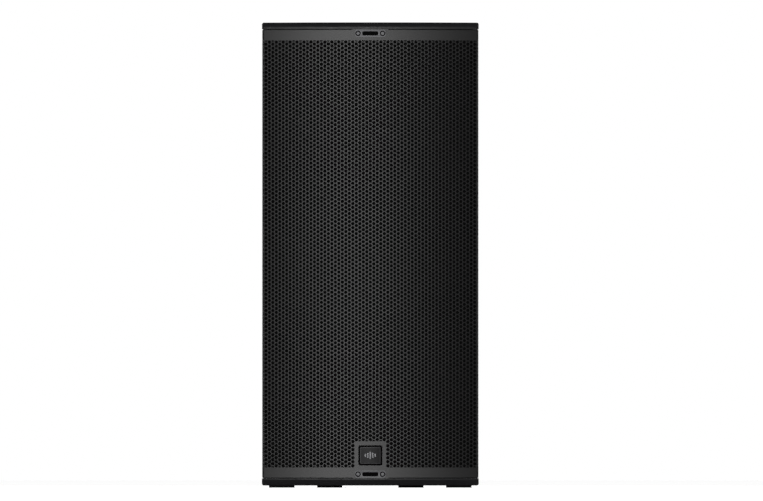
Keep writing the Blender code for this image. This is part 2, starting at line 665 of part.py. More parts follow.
def make_handles(finishes):
    """A dished handle in each side wall, with a bar across its mouth."""
    flange, lip, wall = 0.012, 0.0022, 0.0025

    def ring(width, height, radius, y):
        return [(a, y, b) for a, b in rounded_rectangle(width, height, radius)]

    wide, high = HANDLE_OPENING
    narrow = 0.018
    rings = [
        ring(wide - narrow, high - narrow, 0.012, HANDLE_DEPTH),
        ring(wide, high, 0.012, -lip),
        ring(wide + 2 * flange - 0.002, high + 2 * flange - 0.002, 0.018, -lip),
        ring(wide + 2 * flange, high + 2 * flange, 0.019, -lip + 0.001),
        ring(wide + 2 * flange, high + 2 * flange, 0.019, -GAP),
        ring(wide + 2 * wall, high + 2 * wall, 0.0135, -GAP),
        ring(wide - narrow + 2 * wall, high - narrow + 2 * wall, 0.0135, HANDLE_DEPTH + wall),
    ]
    half_bar = wide / 2 - narrow / 2 * (BAR_DEPTH + 0.012) / HANDLE_DEPTH - 0.0012
    bar = [(0, -half_bar), (0.0070, -half_bar), (0.0070, 0.012 - half_bar), (0.0105, 0.016 - half_bar),
           (0.0115, 0.0), (0.0105, half_bar - 0.016), (0.0070, half_bar - 0.012), (0.0070, half_bar), (0, half_bar)]
    lay = Matrix.Translation((0, BAR_DEPTH, BAR_Z)) @ Matrix.Rotation(math.pi / 2, 4, "Z")
    for side, sign in SIDES.items():
        place = handle_place(sign)
        add(f"handle_dish_{side}", moved(loft(rings), place), finishes["plastic"])
        body = turned(bar, 16, closed=False)
        add(f"handle_bar_{side}", moved(body, place @ lay), finishes["rubber"])


# ---------------------------------------------------------------- amplifier


def box(x0, x1, y0, y1, z0, z1):
    return prism([(x0, y0), (x1, y0), (x1, y1), (x0, y1)], z0, z1)


def make_amplifier(finishes):
    """The rear plate with its chassis, circuit board and heat sink."""
    width, height, thick = AMP_PLATE
    back, face = PLATE_FACE_Y - thick, PLATE_FACE_Y
    bm = prism(shifted(rounded_rectangle(width, height, 0.006), 0, AMP_Z), back, face, "Y")
    plate = add("amp_plate", bm, finishes["aluminium"])
    span = (back - 0.002, face + 0.002)
    holes = [prism(circle(0.0036, *ENCODER, 12), *span, "Y")]
    holes += [prism(circle(SOCKET_BODY + GAP * 2, *at, 20), *span, "Y") for at in SOCKETS]
    holes.append(prism(shifted(rounded_rectangle(0.0590, 0.0260, 0.002, 1), *INLET), *span, "Y"))
    cut(plate, holes)

    front_wall = back - GAP - AMP_DEPTH
    clearance, wall = 0.004, 0.002
    half_x, half_z = AMP_CUTOUT[0] / 2 - clearance, AMP_CUTOUT[1] / 2 - clearance
    chassis = add(
        "amp_chassis", box(-half_x, half_x, front_wall, back - GAP, AMP_Z - half_z, AMP_Z + half_z),
        finishes["zinc"], smooth=False,
    )
    cut(chassis, [box(-half_x + wall, half_x - wall, front_wall + wall, back + 0.01, AMP_Z - half_z + wall,
                      AMP_Z + half_z - wall)])

    board_y = back - 0.045
    bm = box(-0.090, 0.090, board_y, board_y + 0.0016, AMP_Z - 0.190, AMP_Z + 0.190)
    board = add("amp_board", bm, finishes["board"], smooth=False)
    parts = [(-0.055, -0.130, 0.060, 0.060, 0.045), (0.040, -0.140, 0.050, 0.040, 0.030),
             (0.030, 0.020, 0.080, 0.050, 0.024), (-0.050, 0.040, 0.040, 0.070, 0.018)]
    for x, z, wide, high, tall in parts:
        join(board, "component", box(x - wide / 2, x + wide / 2, board_y - tall, board_y + 0.0008,
                                     AMP_Z + z - high / 2, AMP_Z + z + high / 2))

    fins, pitch, fin = 13, 0.0155, 0.0022
    base, tip = face + GAP, BACK_Y - 0.003
    half = (fins - 1) * pitch / 2 + fin / 2
    outline = [(-half, base), (half, base)]
    for k in reversed(range(fins)):
        middle = (k - (fins - 1) / 2) * pitch
        outline += [(middle + fin / 2, tip), (middle - fin / 2, tip)]
        if k:
            outline += [(middle - fin / 2, base + 0.004), (middle - pitch + fin / 2, base + 0.004)]
    add("heat_sink", prism(outline, *HEAT_SINK_Z), finishes["aluminium"], smooth=False)


def make_sockets(finishes):
    """Two combination input sockets, each with a latch tab that slides in its flange's notch."""
    face = PLATE_FACE_Y + GAP
    for number, (x, z) in enumerate(SOCKETS, 1):
        bm = prism(rounded_rectangle(0.026, 0.031, 0.003), face, face + SOCKET_FLANGE, "Y")
        socket = add(f"input_socket_{number}", bm, finishes["plastic"])
        join(socket, "barrel", prism(circle(SOCKET_BODY, steps=20), face - 0.024, face + 0.0008, "Y"))
        well = prism(circle(0.0096, steps=20), face - 0.003, face + 0.01, "Y")
        jack = prism(circle(0.0034, steps=12), face - 0.021, face + 0.01, "Y")
        notch = prism(shifted(rounded_rectangle(0.0086, 0.0054, 0.0005, 1), 0, TAB_Z), face - 0.001, face + 0.01, "Y")
        cut(socket, [well, jack, notch])
        socket.location = (x, 0, z)
        tab = prism(rounded_rectangle(0.0078, 0.0046, 0.0008, 2), face + 0.0016, face + 0.0046, "Y")
        latch = add(f"latch_tab_{number}", tab, finishes["zinc"])
        latch.location = (x, 0, z + TAB_Z)


def make_controls(finishes):
    """The push-and-turn encoder: a shaft through the plate, and the knob on it."""
    face = PLATE_FACE_Y
    x, z = ENCODER
    shaft = turned([(0, face - 0.020), (0.003, face - 0.020), (0.003, face + 0.0118), (0, face + 0.0118)], 12, False)
    add("encoder_shaft", shaft, finishes["zinc"]).location = (x, 0, z)
    low, high = face + 0.0022, face + 0.0150
    knob = [(0, face + 0.0121), (0.0033, face + 0.0121), (0.0033, low), (0.0130, low), (0.0126, high - 0.001),
            (0.0116, high), (0.0096, high), (0.0086, high - 0.0007), (0, high - 0.0007)]
    add("encoder_knob", turned(knob, closed=False), finishes["rubber"]).location = (x, 0, z)


def make_power_inlet(finishes):
    """The mains inlet with the power switch's opening beside it, and the rocker in that opening."""
    face = PLATE_FACE_Y + GAP
    x, z = INLET
    bm = prism(rounded_rectangle(0.068, 0.034, 0.003, 2), face, face + 0.002, "Y")
    inlet = add("power_inlet", bm, finishes["plastic"])
    join(inlet, "inlet_body", box(-0.0285, 0.0285, face - 0.020, face + 0.001, -0.012, 0.012))
    socket_x = -0.0125
    well = [(socket_x - 0.0122, -0.0088), (socket_x + 0.0122, -0.0088), (socket_x + 0.0122, 0.0030),
            (socket_x + 0.0070, 0.0088), (socket_x - 0.0070, 0.0088), (socket_x - 0.0122, 0.0030)]
    cut(inlet, [prism(well, face - 0.016, face + 0.01, "Y"),
                box(ROCKER_X - 0.0066 - 0.0065, ROCKER_X + 0.0001, face - 0.017, face + 0.01, -0.0108, 0.0108)])
    for pin, (px, pz) in enumerate(((-0.007, -0.001), (0.007, -0.001), (0.0, 0.004))):
        join(inlet, f"pin_{pin}", box(socket_x + px - 0.001, socket_x + px + 0.001, face - 0.018, face - 0.003,
                                      pz - 0.002, pz + 0.002))
    inlet.location = (x, 0, z)

    half_wide, half_high = 0.0061, 0.0096
    outline = [(0.0050, -half_high), (0.0035, 0.0), (0.0050, half_high), (-0.0040, half_high * 0.8),
               (-0.0060, 0.0), (-0.0040, -half_high * 0.8)]
    rocker = add("power_rocker", prism(outline, -half_wide, half_wide, "X"), finishes["plastic"], smooth=False)
    rocker.location = (x + ROCKER_X - 0.0065, face - 0.0042, z)
    rocker.rotation_euler = (math.radians(-12), 0, 0)


# ---------------------------------------------------------------- wiring


def smooth_route(points, spacing):
    """Points spaced along a Catmull-Rom curve through a route."""
    ends = [2 * points[0] - points[1], *points, 2 * points[-1] - points[-2]]
    route = []
    for a, b, c, d in zip(ends, ends[1:], ends[2:], ends[3:]):
        steps = max(2, round((c - b).length / spacing))
        for k in range(steps):
            t = k / steps
            route.append(
                0.5 * (2 * b + (c - a) * t + (2 * a - 5 * b + 4 * c - d) * t**2 + (3 * b - a - 3 * c + d) * t**3)
            )
    return [*route, points[-1]]


def make_cables(finishes):
    """The leads from the amplifier to the three drivers."""
    radius = 0.0030
    start_y = PLATE_FACE_Y - AMP_PLATE[2] - GAP - AMP_DEPTH - 3 * GAP
    routes = {
        "lower_woofer_cable": [(-0.060, start_y, 0.300), (-0.060, 0.090, 0.300), (-0.090, 0.010, 0.262),
                               (-0.116, -0.055, 0.234), (-0.106, -0.092, 0.228), (-0.106, -0.1072, 0.228)],
        "upper_woofer_cable": [(0.060, start_y, 0.520), (0.060, 0.090, 0.520), (0.092, 0.010, 0.570),
                               (0.116, -0.055, 0.620), (0.106, -0.092, 0.627), (0.106, -0.1072, 0.627)],
        "horn_driver_cable": [(0.010, start_y, 0.545), (0.010, 0.090, 0.545), (0.012, 0.074, 0.640),
                              (0.006, 0.050, 0.760), (0.0, -0.020, 0.846), (0.0, -0.032, HORN_Z - 0.090),
                              (0.0, -0.032, HORN_Z - 0.0762)],
    }
    for name, points in routes.items():
        straight_exit = (points[0][0], start_y - 0.008, points[0][2])
        route = smooth_route([Vector(p) for p in (points[0], straight_exit, *points[1:])], radius * 7)
        curve = bpy.data.curves.new(name, "CURVE")
        curve.dimensions = "3D"
        curve.bevel_depth = radius
        curve.bevel_resolution = 2
        curve.use_fill_caps = True
        spline = curve.splines.new("POLY")
        spline.points.add(len(route) - 1)
        for point, where in zip(spline.points, route):
            point.co = (*where, 1)
        curve.materials.append(finishes["cable"])
        bpy.context.scene.collection.objects.link(bpy.data.objects.new(name, curve))


def main():
    for obj in list(bpy.data.objects):
        bpy.data.objects.remove(obj)
    finishes = make_materials()
    make_top_and_bottom(finishes)
    make_sides(finishes)
    make_inner_walls(finishes)
    make_ports(finishes)
    for label, z in zip(("lower", "upper"), WOOFER_Z):
        make_woofer(label, z, finishes)
    make_horn(finishes)
    make_compression_driver(finishes)
    make_grille(finishes)
    make_clamps(finishes)
    make_badge(finishes)
    make_feet(finishes)
    make_handles(finishes)
    make_amplifier(finishes)
    make_sockets(finishes)
    make_controls(finishes)
    make_power_inlet(finishes)
    make_cables(finishes)


main()
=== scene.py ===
"""Looks for a tall powered PA loudspeaker: coated plywood, a perforated steel grille, drivers and an amplifier."""

import math

import bmesh
import bpy
import numpy as np
from mathutils import Matrix, Vector


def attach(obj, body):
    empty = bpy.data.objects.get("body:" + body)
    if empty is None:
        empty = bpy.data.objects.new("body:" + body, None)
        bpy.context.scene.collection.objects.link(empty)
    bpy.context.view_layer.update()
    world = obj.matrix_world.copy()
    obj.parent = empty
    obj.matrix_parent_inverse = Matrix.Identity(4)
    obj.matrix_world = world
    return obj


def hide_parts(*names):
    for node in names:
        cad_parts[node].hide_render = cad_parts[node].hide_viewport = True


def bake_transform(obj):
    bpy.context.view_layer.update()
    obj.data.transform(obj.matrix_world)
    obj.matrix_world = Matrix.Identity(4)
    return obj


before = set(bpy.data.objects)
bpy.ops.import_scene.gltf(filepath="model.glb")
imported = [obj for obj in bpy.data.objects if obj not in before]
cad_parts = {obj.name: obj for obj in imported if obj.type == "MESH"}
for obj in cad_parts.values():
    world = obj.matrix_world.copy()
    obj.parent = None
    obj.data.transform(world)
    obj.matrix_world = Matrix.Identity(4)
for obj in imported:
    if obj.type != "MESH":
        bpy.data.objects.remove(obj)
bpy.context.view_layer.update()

MM = 0.001

# The cabinet's sizes, as the solids have them
WIDTH = 0.5265
REAR_WIDTH = 0.280
FRONT_Y, BACK_Y = -0.250, 0.250
FRONT_RADIUS = 1.320
ARC_CENTRE_Y = FRONT_Y + FRONT_RADIUS
FOOT_HEIGHT, HEIGHT, PLY = 0.006, 1.124, 0.016
FLOOR_TOP, CEILING = FOOT_HEIGHT + PLY, HEIGHT - PLY
CORNER_Y = ARC_CENTRE_Y - math.sqrt(FRONT_RADIUS**2 - (WIDTH / 2) ** 2)
TAPER = math.atan2((WIDTH - REAR_WIDTH) / 2, BACK_Y - CORNER_Y)
BAFFLE_Y = -0.200
WOOFER_Z = {"lower": 0.228, "upper": 0.627}
HORN_Z = 0.965
PLATE_FACE_Y = 0.2313
JOINT = 0.28 * MM  # the panels fill the solids' gap to the walls, so that no light passes
CORNER = 5.2 * MM  # radius of the panels' corners in plan
# Their sloping rims at the front, in mm: the top panel's and the bottom panel's
RIM = {1: ((0, 5.9), (3.8, 14.6), (5.0, 16.28)), -1: ((0, 3.4), (4.1, 15.0), (5.0, 17.28))}
ROUND = 5.0 * MM  # radius of the rims at the sides and rear
SIDES = {"left": -1, "right": 1}

# Grille
GRILLE_LOW, GRILLE_HIGH = FLOOR_TOP + 0.002, CEILING - 0.002
GRILLE_INSET = 0.0023
SHEET = 0.0015
BEND_RADIUS = 0.0046
FLANGE_INWARD = 0.0002
FLANGE_LENGTH = 0.022
PITCH = 9.7525 * MM
HOLE = 7.5 * MM
FIRST_ODD = 52.60 * MM  # middle of the lowest hole in an odd column
COLUMNS, ROWS = 32, 107  # columns each side of the middle one, and holes in a column at most
BENT_COLUMNS = 30  # from this one on, the cells need more points to follow the bend
BADGE_COLUMNS = 4
TAB_HALF = 43.5 * MM
CLAMP_Z = {"bottom": FOOT_HEIGHT + 0.0262, "top": HEIGHT - 0.0266}
CLAMP_SCREW_X = 29.7  # in mm
BADGE_Z = 0.0777


# ---------------------------------------------------------------- materials


def linear(code):
    """An sRGB hex colour as linear red, green, blue and alpha."""
    values = [int(code[k : k + 2], 16) / 255 for k in (1, 3, 5)]
    return (*(v / 12.92 if v <= 0.04045 else ((v + 0.055) / 1.055) ** 2.4 for v in values), 1.0)


def add(tree, kind, settings=None, **inputs):
    """A node with its settings, and its inputs set to values or linked from sockets."""
    made = tree.nodes.new("ShaderNode" + kind)
    for key, value in (settings or {}).items():
        setattr(made, key, value)
    for key, value in inputs.items():
        socket = made.inputs[int(key[1:])] if key[0] == "_" else made.inputs[key.replace("_", " ")]
        if isinstance(value, bpy.types.NodeSocket):
            tree.links.new(value, socket)
        else:
            socket.default_value = value
    return made


def finish(name, colour, roughness, metallic=0.0, **more):
    """A Principled material with its tree, shader and Object coordinates, ready for a pattern."""
    made = bpy.data.materials.new(name)
    made.use_nodes = True
    tree = made.node_tree
    shader = tree.nodes["Principled BSDF"]
    shader.inputs["Base Color"].default_value = linear(colour)
    shader.inputs["Roughness"].default_value = roughness
    shader.inputs["Metallic"].default_value = metallic
    for key, value in more.items():
        shader.inputs[key.replace("_", " ")].default_value = value
    made.diffuse_color = linear(colour)
    return made, tree, shader, add(tree, "TexCoord").outputs["Object"]


def grain(tree, place, size, detail=2.0, roughness=0.5):
    """Noise whose lumps are about size across."""
    return add(tree, "TexNoise", Vector=place, Scale=1 / size, Detail=detail, Roughness=roughness).outputs[0]


def relief(tree, shader, height, depth, strength=1.0):
    """Bump on a shader: height runs from 0 to 1 and stands for depth metres."""
    bump = add(tree, "Bump", Height=height, Distance=depth, Strength=strength)
    tree.links.new(bump.outputs["Normal"], shader.inputs["Normal"])


def spread(tree, value, low, high, to_low=0.0, to_high=1.0):
    return add(tree, "MapRange", _0=value, _1=low, _2=high, _3=to_low, _4=to_high).outputs[0]


def two_tone(tree, shader, factor, first, second):
    mixed = add(tree, "Mix", {"data_type": "RGBA"}, _0=factor, _6=linear(first), _7=linear(second))
    tree.links.new(mixed.outputs[2], shader.inputs["Base Color"])


def textured_paint():
    """Water-based cabinet paint, rolled on with a coarse roller: hard, matt, with lumps 2 to 4 mm across."""
    made, tree, shader, place = finish("textured_cabinet_paint", "#121214", 0.45, Specular_IOR_Level=0.34)
    lumps = add(tree, "TexVoronoi", {"feature": "SMOOTH_F1"}, Vector=place, Scale=1 / (4.0 * MM), Smoothness=0.5)
    fine = grain(tree, place, 1.8 * MM, 3.0)
    height = add(tree, "Math", {"operation": "MULTIPLY_ADD"}, _0=fine, _1=0.6, _2=lumps.outputs["Distance"])
    relief(tree, shader, height.outputs[0], 0.32 * MM)
    tree.links.new(spread(tree, grain(tree, place, 30 * MM), 0.3, 0.7, 0.38, 0.46), shader.inputs["Roughness"])
    return made


def make_finishes():
    made = {"paint": textured_paint()}
    for key, (name, colour, roughness, metallic, specular, size, depth, strength) in EVEN_FINISHES.items():
        made[key], tree, shader, place = finish(name, colour, roughness, metallic, Specular_IOR_Level=specular)
        relief(tree, shader, grain(tree, place, size * MM), depth * MM, strength)

    # Polyester scrim, plain weave: the threads are drawn at 1.2 mm, since real 0.4 mm ones would be lost
    made["cloth"], tree, shader, place = finish("woven_polyester_scrim", "#060606", 0.95, Specular_IOR_Level=0.1)
    across, upward = (
        add(tree, "TexWave", {"bands_direction": way}, Vector=place, Scale=1 / (1.2 * MM) / 6.28) for way in "XZ"
    )
    weave = add(tree, "Math", {"operation": "MAXIMUM"}, _0=across.outputs[1], _1=upward.outputs[1]).outputs[0]
    relief(tree, shader, weave, 0.2 * MM)
    # Painted shade: the scrim's colour is darker where the weave is low, in the hollows between the threads
    two_tone(tree, shader, weave, "#030303", "#090909")

    # Zinc on steel, turned and tumbled: bright, with faint turning marks
    made["screw"], tree, shader, place = finish("bright_zinc_steel", "#B9B9BC", 0.3, 1.0)
    tree.links.new(spread(tree, grain(tree, place, 1.0 * MM, 3.0), 0.3, 0.7, 0.22, 0.42), shader.inputs["Roughness"])

    # Natural rubber, moulded: matt, faintly dusty
    made["rubber"], tree, shader, place = finish("moulded_rubber", "#101010", 0.8, Specular_IOR_Level=0.15)
    relief(tree, shader, grain(tree, place, 0.9 * MM, 3.0), 0.05 * MM)
    two_tone(tree, shader, grain(tree, place, 12 * MM), "#0C0C0C", "#161616")

    # Birch plywood, sanded: pale, with fine brown grain lines along the sheet
    made["plywood"], tree, shader, place = finish("birch_plywood", "#C9A673", 0.6)
    stretched = add(tree, "Mapping", Vector=place, Scale=(1.0, 1.0, 0.06)).outputs[0]
    lines = grain(tree, stretched, 2.5 * MM, 4.0)
    two_tone(tree, shader, spread(tree, lines, 0.35, 0.65), "#B58C58", "#D3B383")
    relief(tree, shader, lines, 0.05 * MM)

    for key, row in BLOTCHED_FINISHES.items():
        made[key] = blotched_finish(*row)
    return made


# Finishes of one colour: name, colour, roughness, metallic, specular level, then lump size, depth (mm) and strength
EVEN_FINISHES = {
    # Polyester powder baked on steel: a satin skin with a fine orange peel
    "grille": ("powder_coated_steel", "#080809", 0.42, 0.0, 0.5, 0.6, 0.02, 0.5),
    "clamp": ("satin_powder_coated_steel", "#404043", 0.40, 0.0, 0.5, 0.6, 0.02, 0.5),
    "bolt": ("worn_powder_coated_steel", "#47474A", 0.40, 0.0, 0.5, 0.6, 0.02, 0.5),
    "foam": ("closed_cell_foam", "#050505", 0.95, 0.0, 0.05, 0.8, 0.1, 1.0),  # die cut: it takes almost all light
    "badge": ("satin_painted_abs", "#0C0C0D", 0.5, 0.0, 0.28, 0.5, 0.01, 0.4),  # moulded and painted satin
    "badge_rim": ("bright_moulded_abs", "#1C1C1E", 0.45, 0.0, 0.36, 0.5, 0.01, 0.3),  # bare moulding, a little bright
    "emblem": ("satin_chrome_plate", "#7C7C7E", 0.5, 1.0, 0.5, 0.4, 0.005, 0.3),  # chrome electroplated on ABS
}

# Finishes with faint patches: name, dark and light colour, roughness, metallic, lump size and depth in mm
BLOTCHED_FINISHES = {
    "baffle": ("black_primed_plywood", "#040404", "#080808", 0.9, 0.0, 2.0, 0.05),  # one coat of matt primer
    "cast": ("cast_painted_aluminium", "#101011", "#1A1A1B", 0.5, 0.4, 1.2, 0.10),  # pebbled by the mould
    "magnet": ("ferrite_and_plated_steel", "#2A2A2C", "#3C3C3E", 0.5, 0.6, 1.5, 0.04),  # grey, faintly blotched
    "cone": ("doped_paper", "#0A0A0A", "#141413", 0.75, 0.0, 1.8, 0.15),  # felted fibres under a thin lacquer
    "surround": ("treated_cambric", "#0C0C0C", "#151515", 0.8, 0.0, 0.9, 0.10),  # woven cloth, sealed and dull
    "spider": ("phenolic_cloth", "#8A5A22", "#A87432", 0.85, 0.0, 0.8, 0.12),  # amber weave
    "former": ("polyimide_former", "#8E4A12", "#B0661E", 0.35, 0.3, 1.0, 0.01),  # glossy amber film
    "abs": ("moulded_abs", "#0B0B0C", "#111112", 0.5, 0.0, 0.7, 0.03),  # black with a fine spark-eroded grain
    "titanium": ("titanium_foil", "#8F8B84", "#A39F97", 0.3, 1.0, 1.0, 0.01),  # thin, bright and slightly grey
    "anodised": ("anodised_aluminium", "#141416", "#1E1E20", 0.38, 0.7, 0.5, 0.01),  # satin black, fine bead blast
    "zinc": ("zinc_plated_steel", "#8C9096", "#A9ADB2", 0.38, 1.0, 9.0, 0.005),  # crystal patches 9 mm across
    "nickel": ("nickel_plated_brass", "#A8A49A", "#BDB9AF", 0.25, 1.0, 0.8, 0.004),  # bright, slightly warm
    "board": ("solder_masked_fibreglass", "#0B3B1C", "#114A26", 0.35, 0.0, 1.5, 0.02),  # glossy green lacquer
    "cable": ("pvc_cable_sheath", "#0A0A0A", "#121212", 0.45, 0.0, 1.0, 0.02),  # smooth, faintly oily
    "glass": ("display_glass", "#020304", "#030506", 0.06, 0.0, 30.0, 0.002),  # black and mirror smooth
    "ink": ("screen_printed_ink", "#B8B8B4", "#C8C8C4", 0.6, 0.0, 0.5, 0.01),  # matt white print
    "lamp": ("green_lamp_lens", "#0E6A2A", "#159038", 0.2, 0.0, 0.8, 0.005),  # clear green plastic
}


def blotched_finish(name, dark, light, roughness, metallic, size, depth):
    """A finish with patches of two colours, lumps of one size and a roughness that varies with them."""
    made, tree, shader, place = finish(name, light, roughness, metallic)
    lumps = grain(tree, place, size * MM, 3.0)
    relief(tree, shader, lumps, depth * MM)
    two_tone(tree, shader, spread(tree, grain(tree, place, 12 * size * MM), 0.35, 0.65), dark, light)
    tree.links.new(spread(tree, lumps, 0.3, 0.7, roughness - 0.04, roughness + 0.04), shader.inputs["Roughness"])
    return made


# The material of the pieces with each finish
FINISHES = {}


# ---------------------------------------------------------------- surfaces


def piece(name, points, groups, finish_key, **more):
    """A mesh piece from an (n, 3) array of points and groups of faces; the faces of a group have equal corners."""
    groups = [np.asarray(group) for group in groups if len(group)]
    corners = np.concatenate([group.ravel() for group in groups])
    counts = np.concatenate([np.full(len(group), group.shape[1]) for group in groups])
    used, corners = np.unique(corners, return_inverse=True)
    mesh = bpy.data.meshes.new(name)
    mesh.vertices.add(len(used))
    mesh.vertices.foreach_set("co", np.asarray(points, np.float32)[used].ravel())
    mesh.loops.add(len(corners))
    mesh.loops.foreach_set("vertex_index", corners.ravel().astype(np.int32))
    mesh.polygons.add(len(counts))
    mesh.polygons.foreach_set("loop_start", (np.cumsum(counts) - counts).astype(np.int32))
    mesh.update(calc_edges=True)
    return finished(name, mesh, finish_key, **more)


def finished(name, mesh, finish_key, node=None, slot=None, body="cabinet", sharp=35.0, weld=0.0):
    """An object for a mesh that is in its place: welded and turned outwards if asked, smooth, and riding on a body.

    A piece between two bodies rides on none. A piece that stands for a solid names its node.
    """
    if weld:
        bm = bmesh.new()
        bm.from_mesh(mesh)
        bmesh.ops.remove_doubles(bm, verts=bm.verts, dist=weld)
        bmesh.ops.dissolve_degenerate(bm, edges=bm.edges, dist=weld)
        bmesh.ops.recalc_face_normals(bm, faces=bm.faces)
        bm.to_mesh(mesh)
        bm.free()
    mesh.validate()
    mesh.shade_smooth()
    mesh.set_sharp_from_angle(angle=math.radians(sharp))
    mesh.materials.clear()
    mesh.materials.append(FINISHES[finish_key])
    obj = bpy.data.objects.new(name, mesh)
    bpy.context.scene.collection.objects.link(obj)
    if body:
        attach(obj, body)
    if node:
        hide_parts(node)
    return obj


def quads(rows, columns, wrap_rows=False, wrap_columns=False):
    """The faces of a grid of points numbered row by row."""
    index = np.arange(rows * columns).reshape(rows, columns)
    if wrap_rows:
        index = np.vstack([index, index[:1]])
    if wrap_columns:
        index = np.hstack([index, index[:, :1]])
    return np.stack([index[:-1, :-1], index[:-1, 1:], index[1:, 1:], index[1:, :-1]], axis=-1).reshape(-1, 4)


def placed(points, place):
    """Points carried by a matrix."""
    matrix = np.array(place)
    return np.asarray(points) @ matrix[:3, :3].T + matrix[:3, 3]


def softened(profile, radius, steps=3):
    """A profile whose inner corners are rounded: each becomes a quadratic curve that starts radius before it."""
    profile = [np.array(p, float) for p in profile]
    points = [profile[0]]
    for before, corner, after in zip(profile, profile[1:], profile[2:]):
        back, on = before - corner, after - corner
        reach = min(radius, 0.45 * np.linalg.norm(back), 0.45 * np.linalg.norm(on))
        first, last = corner + back / np.linalg.norm(back) * reach, corner + on / np.linalg.norm(on) * reach
        t = np.linspace(0, 1, steps + 1)[:, None]
        points += list((1 - t) ** 2 * first + 2 * t * (1 - t) * corner + t**2 * last)
    return np.array([*points, profile[-1]])


def turned(name, profile, place, finish_key, steps=64, loop=False, **more):
    """A profile of (radius, height) in mm turned round local Z: x = r cos t, y = r sin t, z = h.

    A loop closes on itself.
    """
    profile = np.asarray(profile, float) * MM
    turn = np.linspace(0, math.tau, steps, endpoint=False)
    radius, height = profile[:, :1], profile[:, 1:]
    points = np.stack([radius * np.cos(turn), radius * np.sin(turn), height + 0 * turn], axis=-1)
    faces = quads(len(profile), steps, wrap_rows=loop, wrap_columns=True)
    return piece(name, placed(points.reshape(-1, 3), place), [faces], finish_key, weld=1e-6, **more)


def lofted(name, rings, finish_key, loop=False, place=Matrix(), **more):
    """Rings of equal counts, in m, joined one to the next; a loop joins the last to the first, else both are capped."""
    rings = np.asarray(rings, float)
    rows, columns = rings.shape[:2]
    groups = [quads(rows, columns, wrap_rows=loop, wrap_columns=True)]
    if not loop:
        index = np.arange(rows * columns).reshape(rows, columns)
        groups += [index[:1, ::-1], index[-1:]]
    return piece(name, placed(rings.reshape(-1, 3), place), groups, finish_key, weld=1e-6, **more)


def circle(radius, x=0, y=0, steps=48):
    """Points round a circle; its sizes are in mm and its points in m."""
    turn = np.linspace(0, math.tau, steps, endpoint=False)
    return np.column_stack([x + radius * np.cos(turn), y + radius * np.sin(turn)]) * MM


def rounded_rectangle(width, height, radius, x=0, y=0, steps=6):
    """Points round a rectangle with round corners: each corner's middle plus radius times (cos t, sin t).

    Its sizes are in mm and its points in m.
    """
    turn = np.linspace(0, math.pi / 2, steps + 1)
    parts = []
    for quarter, (sx, sy) in enumerate(((1, 1), (-1, 1), (-1, -1), (1, -1))):
        middle = (x + sx * (width / 2 - radius), y + sy * (height / 2 - radius))
        angle = turn + quarter * math.pi / 2
        parts.append(middle + radius * np.column_stack([np.cos(angle), np.sin(angle)]))
    return np.concatenate(parts) * MM


def plate(name, outlines, thickness, edge, place, finish_key, rounding=2, **more):
    """A flat sheet cut to an outline, with further outlines as holes and all its edges rounded by edge.

    It lies in local XY, from z = 0 up to its thickness; thickness and edge are in mm.
    """
    thickness, edge = thickness * MM, edge * MM
    curve = bpy.data.curves.new(name, "CURVE")
    curve.dimensions = "2D"
    curve.fill_mode = "BOTH"
    curve.extrude = thickness / 2 - edge
    curve.bevel_depth = edge
    curve.bevel_resolution = rounding
    curve.offset = -edge
    for outline in outlines:
        spline = curve.splines.new("POLY")
        spline.points.add(len(outline) - 1)
        flat = np.column_stack([outline, np.zeros(len(outline)), np.ones(len(outline))])
        spline.points.foreach_set("co", flat.ravel())
        spline.use_cyclic_u = True
    holder = bpy.data.objects.new(name, curve)
    mesh = bpy.data.meshes.new_from_object(holder)
    bpy.data.objects.remove(holder)
    bpy.data.curves.remove(curve)
    mesh.name = name
    mesh.transform(place @ Matrix.Translation((0, 0, thickness / 2)))
    return finished(name, mesh, finish_key, weld=1e-6, **more)


def facing(x, y, z, towards):
    """Carries local XY to a plane whose outward normal, local Z, points to the front or the rear."""
    if towards == "front":
        turn = Matrix(((1, 0, 0), (0, 0, -1), (0, 1, 0))).to_4x4()
    else:
        turn = Matrix(((-1, 0, 0), (0, 0, 1), (0, 1, 0))).to_4x4()
    return Matrix.Translation((x, y, z)) @ turn


def in_front(x, depth, z):
    """A place that faces the front, depth mm behind the foremost line of the cabinet."""
    return facing(x, FRONT_Y + depth * MM, z, "front")


# ---------------------------------------------------------------- cabinet


def footprint(inset, beside, corner=CORNER, steps=8):
    """The outline in plan: front arc, straight sides and rear, round corners.

    It is moved inwards by inset along the front and by beside elsewhere, and goes from one to the other by a smooth
    step of its normal round the front corners.
    """
    corner_points = [(-REAR_WIDTH / 2, BACK_Y), (-WIDTH / 2, CORNER_Y), (WIDTH / 2, CORNER_Y), (REAR_WIDTH / 2, BACK_Y)]
    tilt = math.asin(WIDTH / 2 / FRONT_RADIUS)
    side = {-1: math.pi - TAPER, 1: TAPER}
    front = {-1: -math.pi / 2 - tilt, 1: -math.pi / 2 + tilt}
    normals = [(math.pi / 2, side[-1]), (side[-1], math.tau + front[-1]), (front[1], side[1]), (side[1], math.pi / 2)]
    parts = []
    for number, (point, (first, last)) in enumerate(zip(corner_points, normals)):
        a, b = (np.array([math.cos(t), math.sin(t)]) for t in (first, last))
        middle = np.linalg.solve(np.array([a, b]), [a @ point - corner, b @ point - corner])
        turn = np.linspace(first, last, steps + 1)
        share = np.clip((-np.sin(turn) - 0.2) / 0.75, 0, 1)
        local = beside + (inset - beside) * share * share * (3 - 2 * share)
        parts.append(middle + (corner - local[:, None]) * np.column_stack([np.cos(turn), np.sin(turn)]))
        if number == 1:
            reach = math.asin((parts[-1][-1][0]) / (FRONT_RADIUS - inset))
            sweep = np.linspace(reach, -reach, 50)[1:-1]
            arc = FRONT_RADIUS - inset
            parts.append(np.column_stack([arc * np.sin(sweep), ARC_CENTRE_Y - arc * np.cos(sweep)]))
    return np.concatenate(parts)


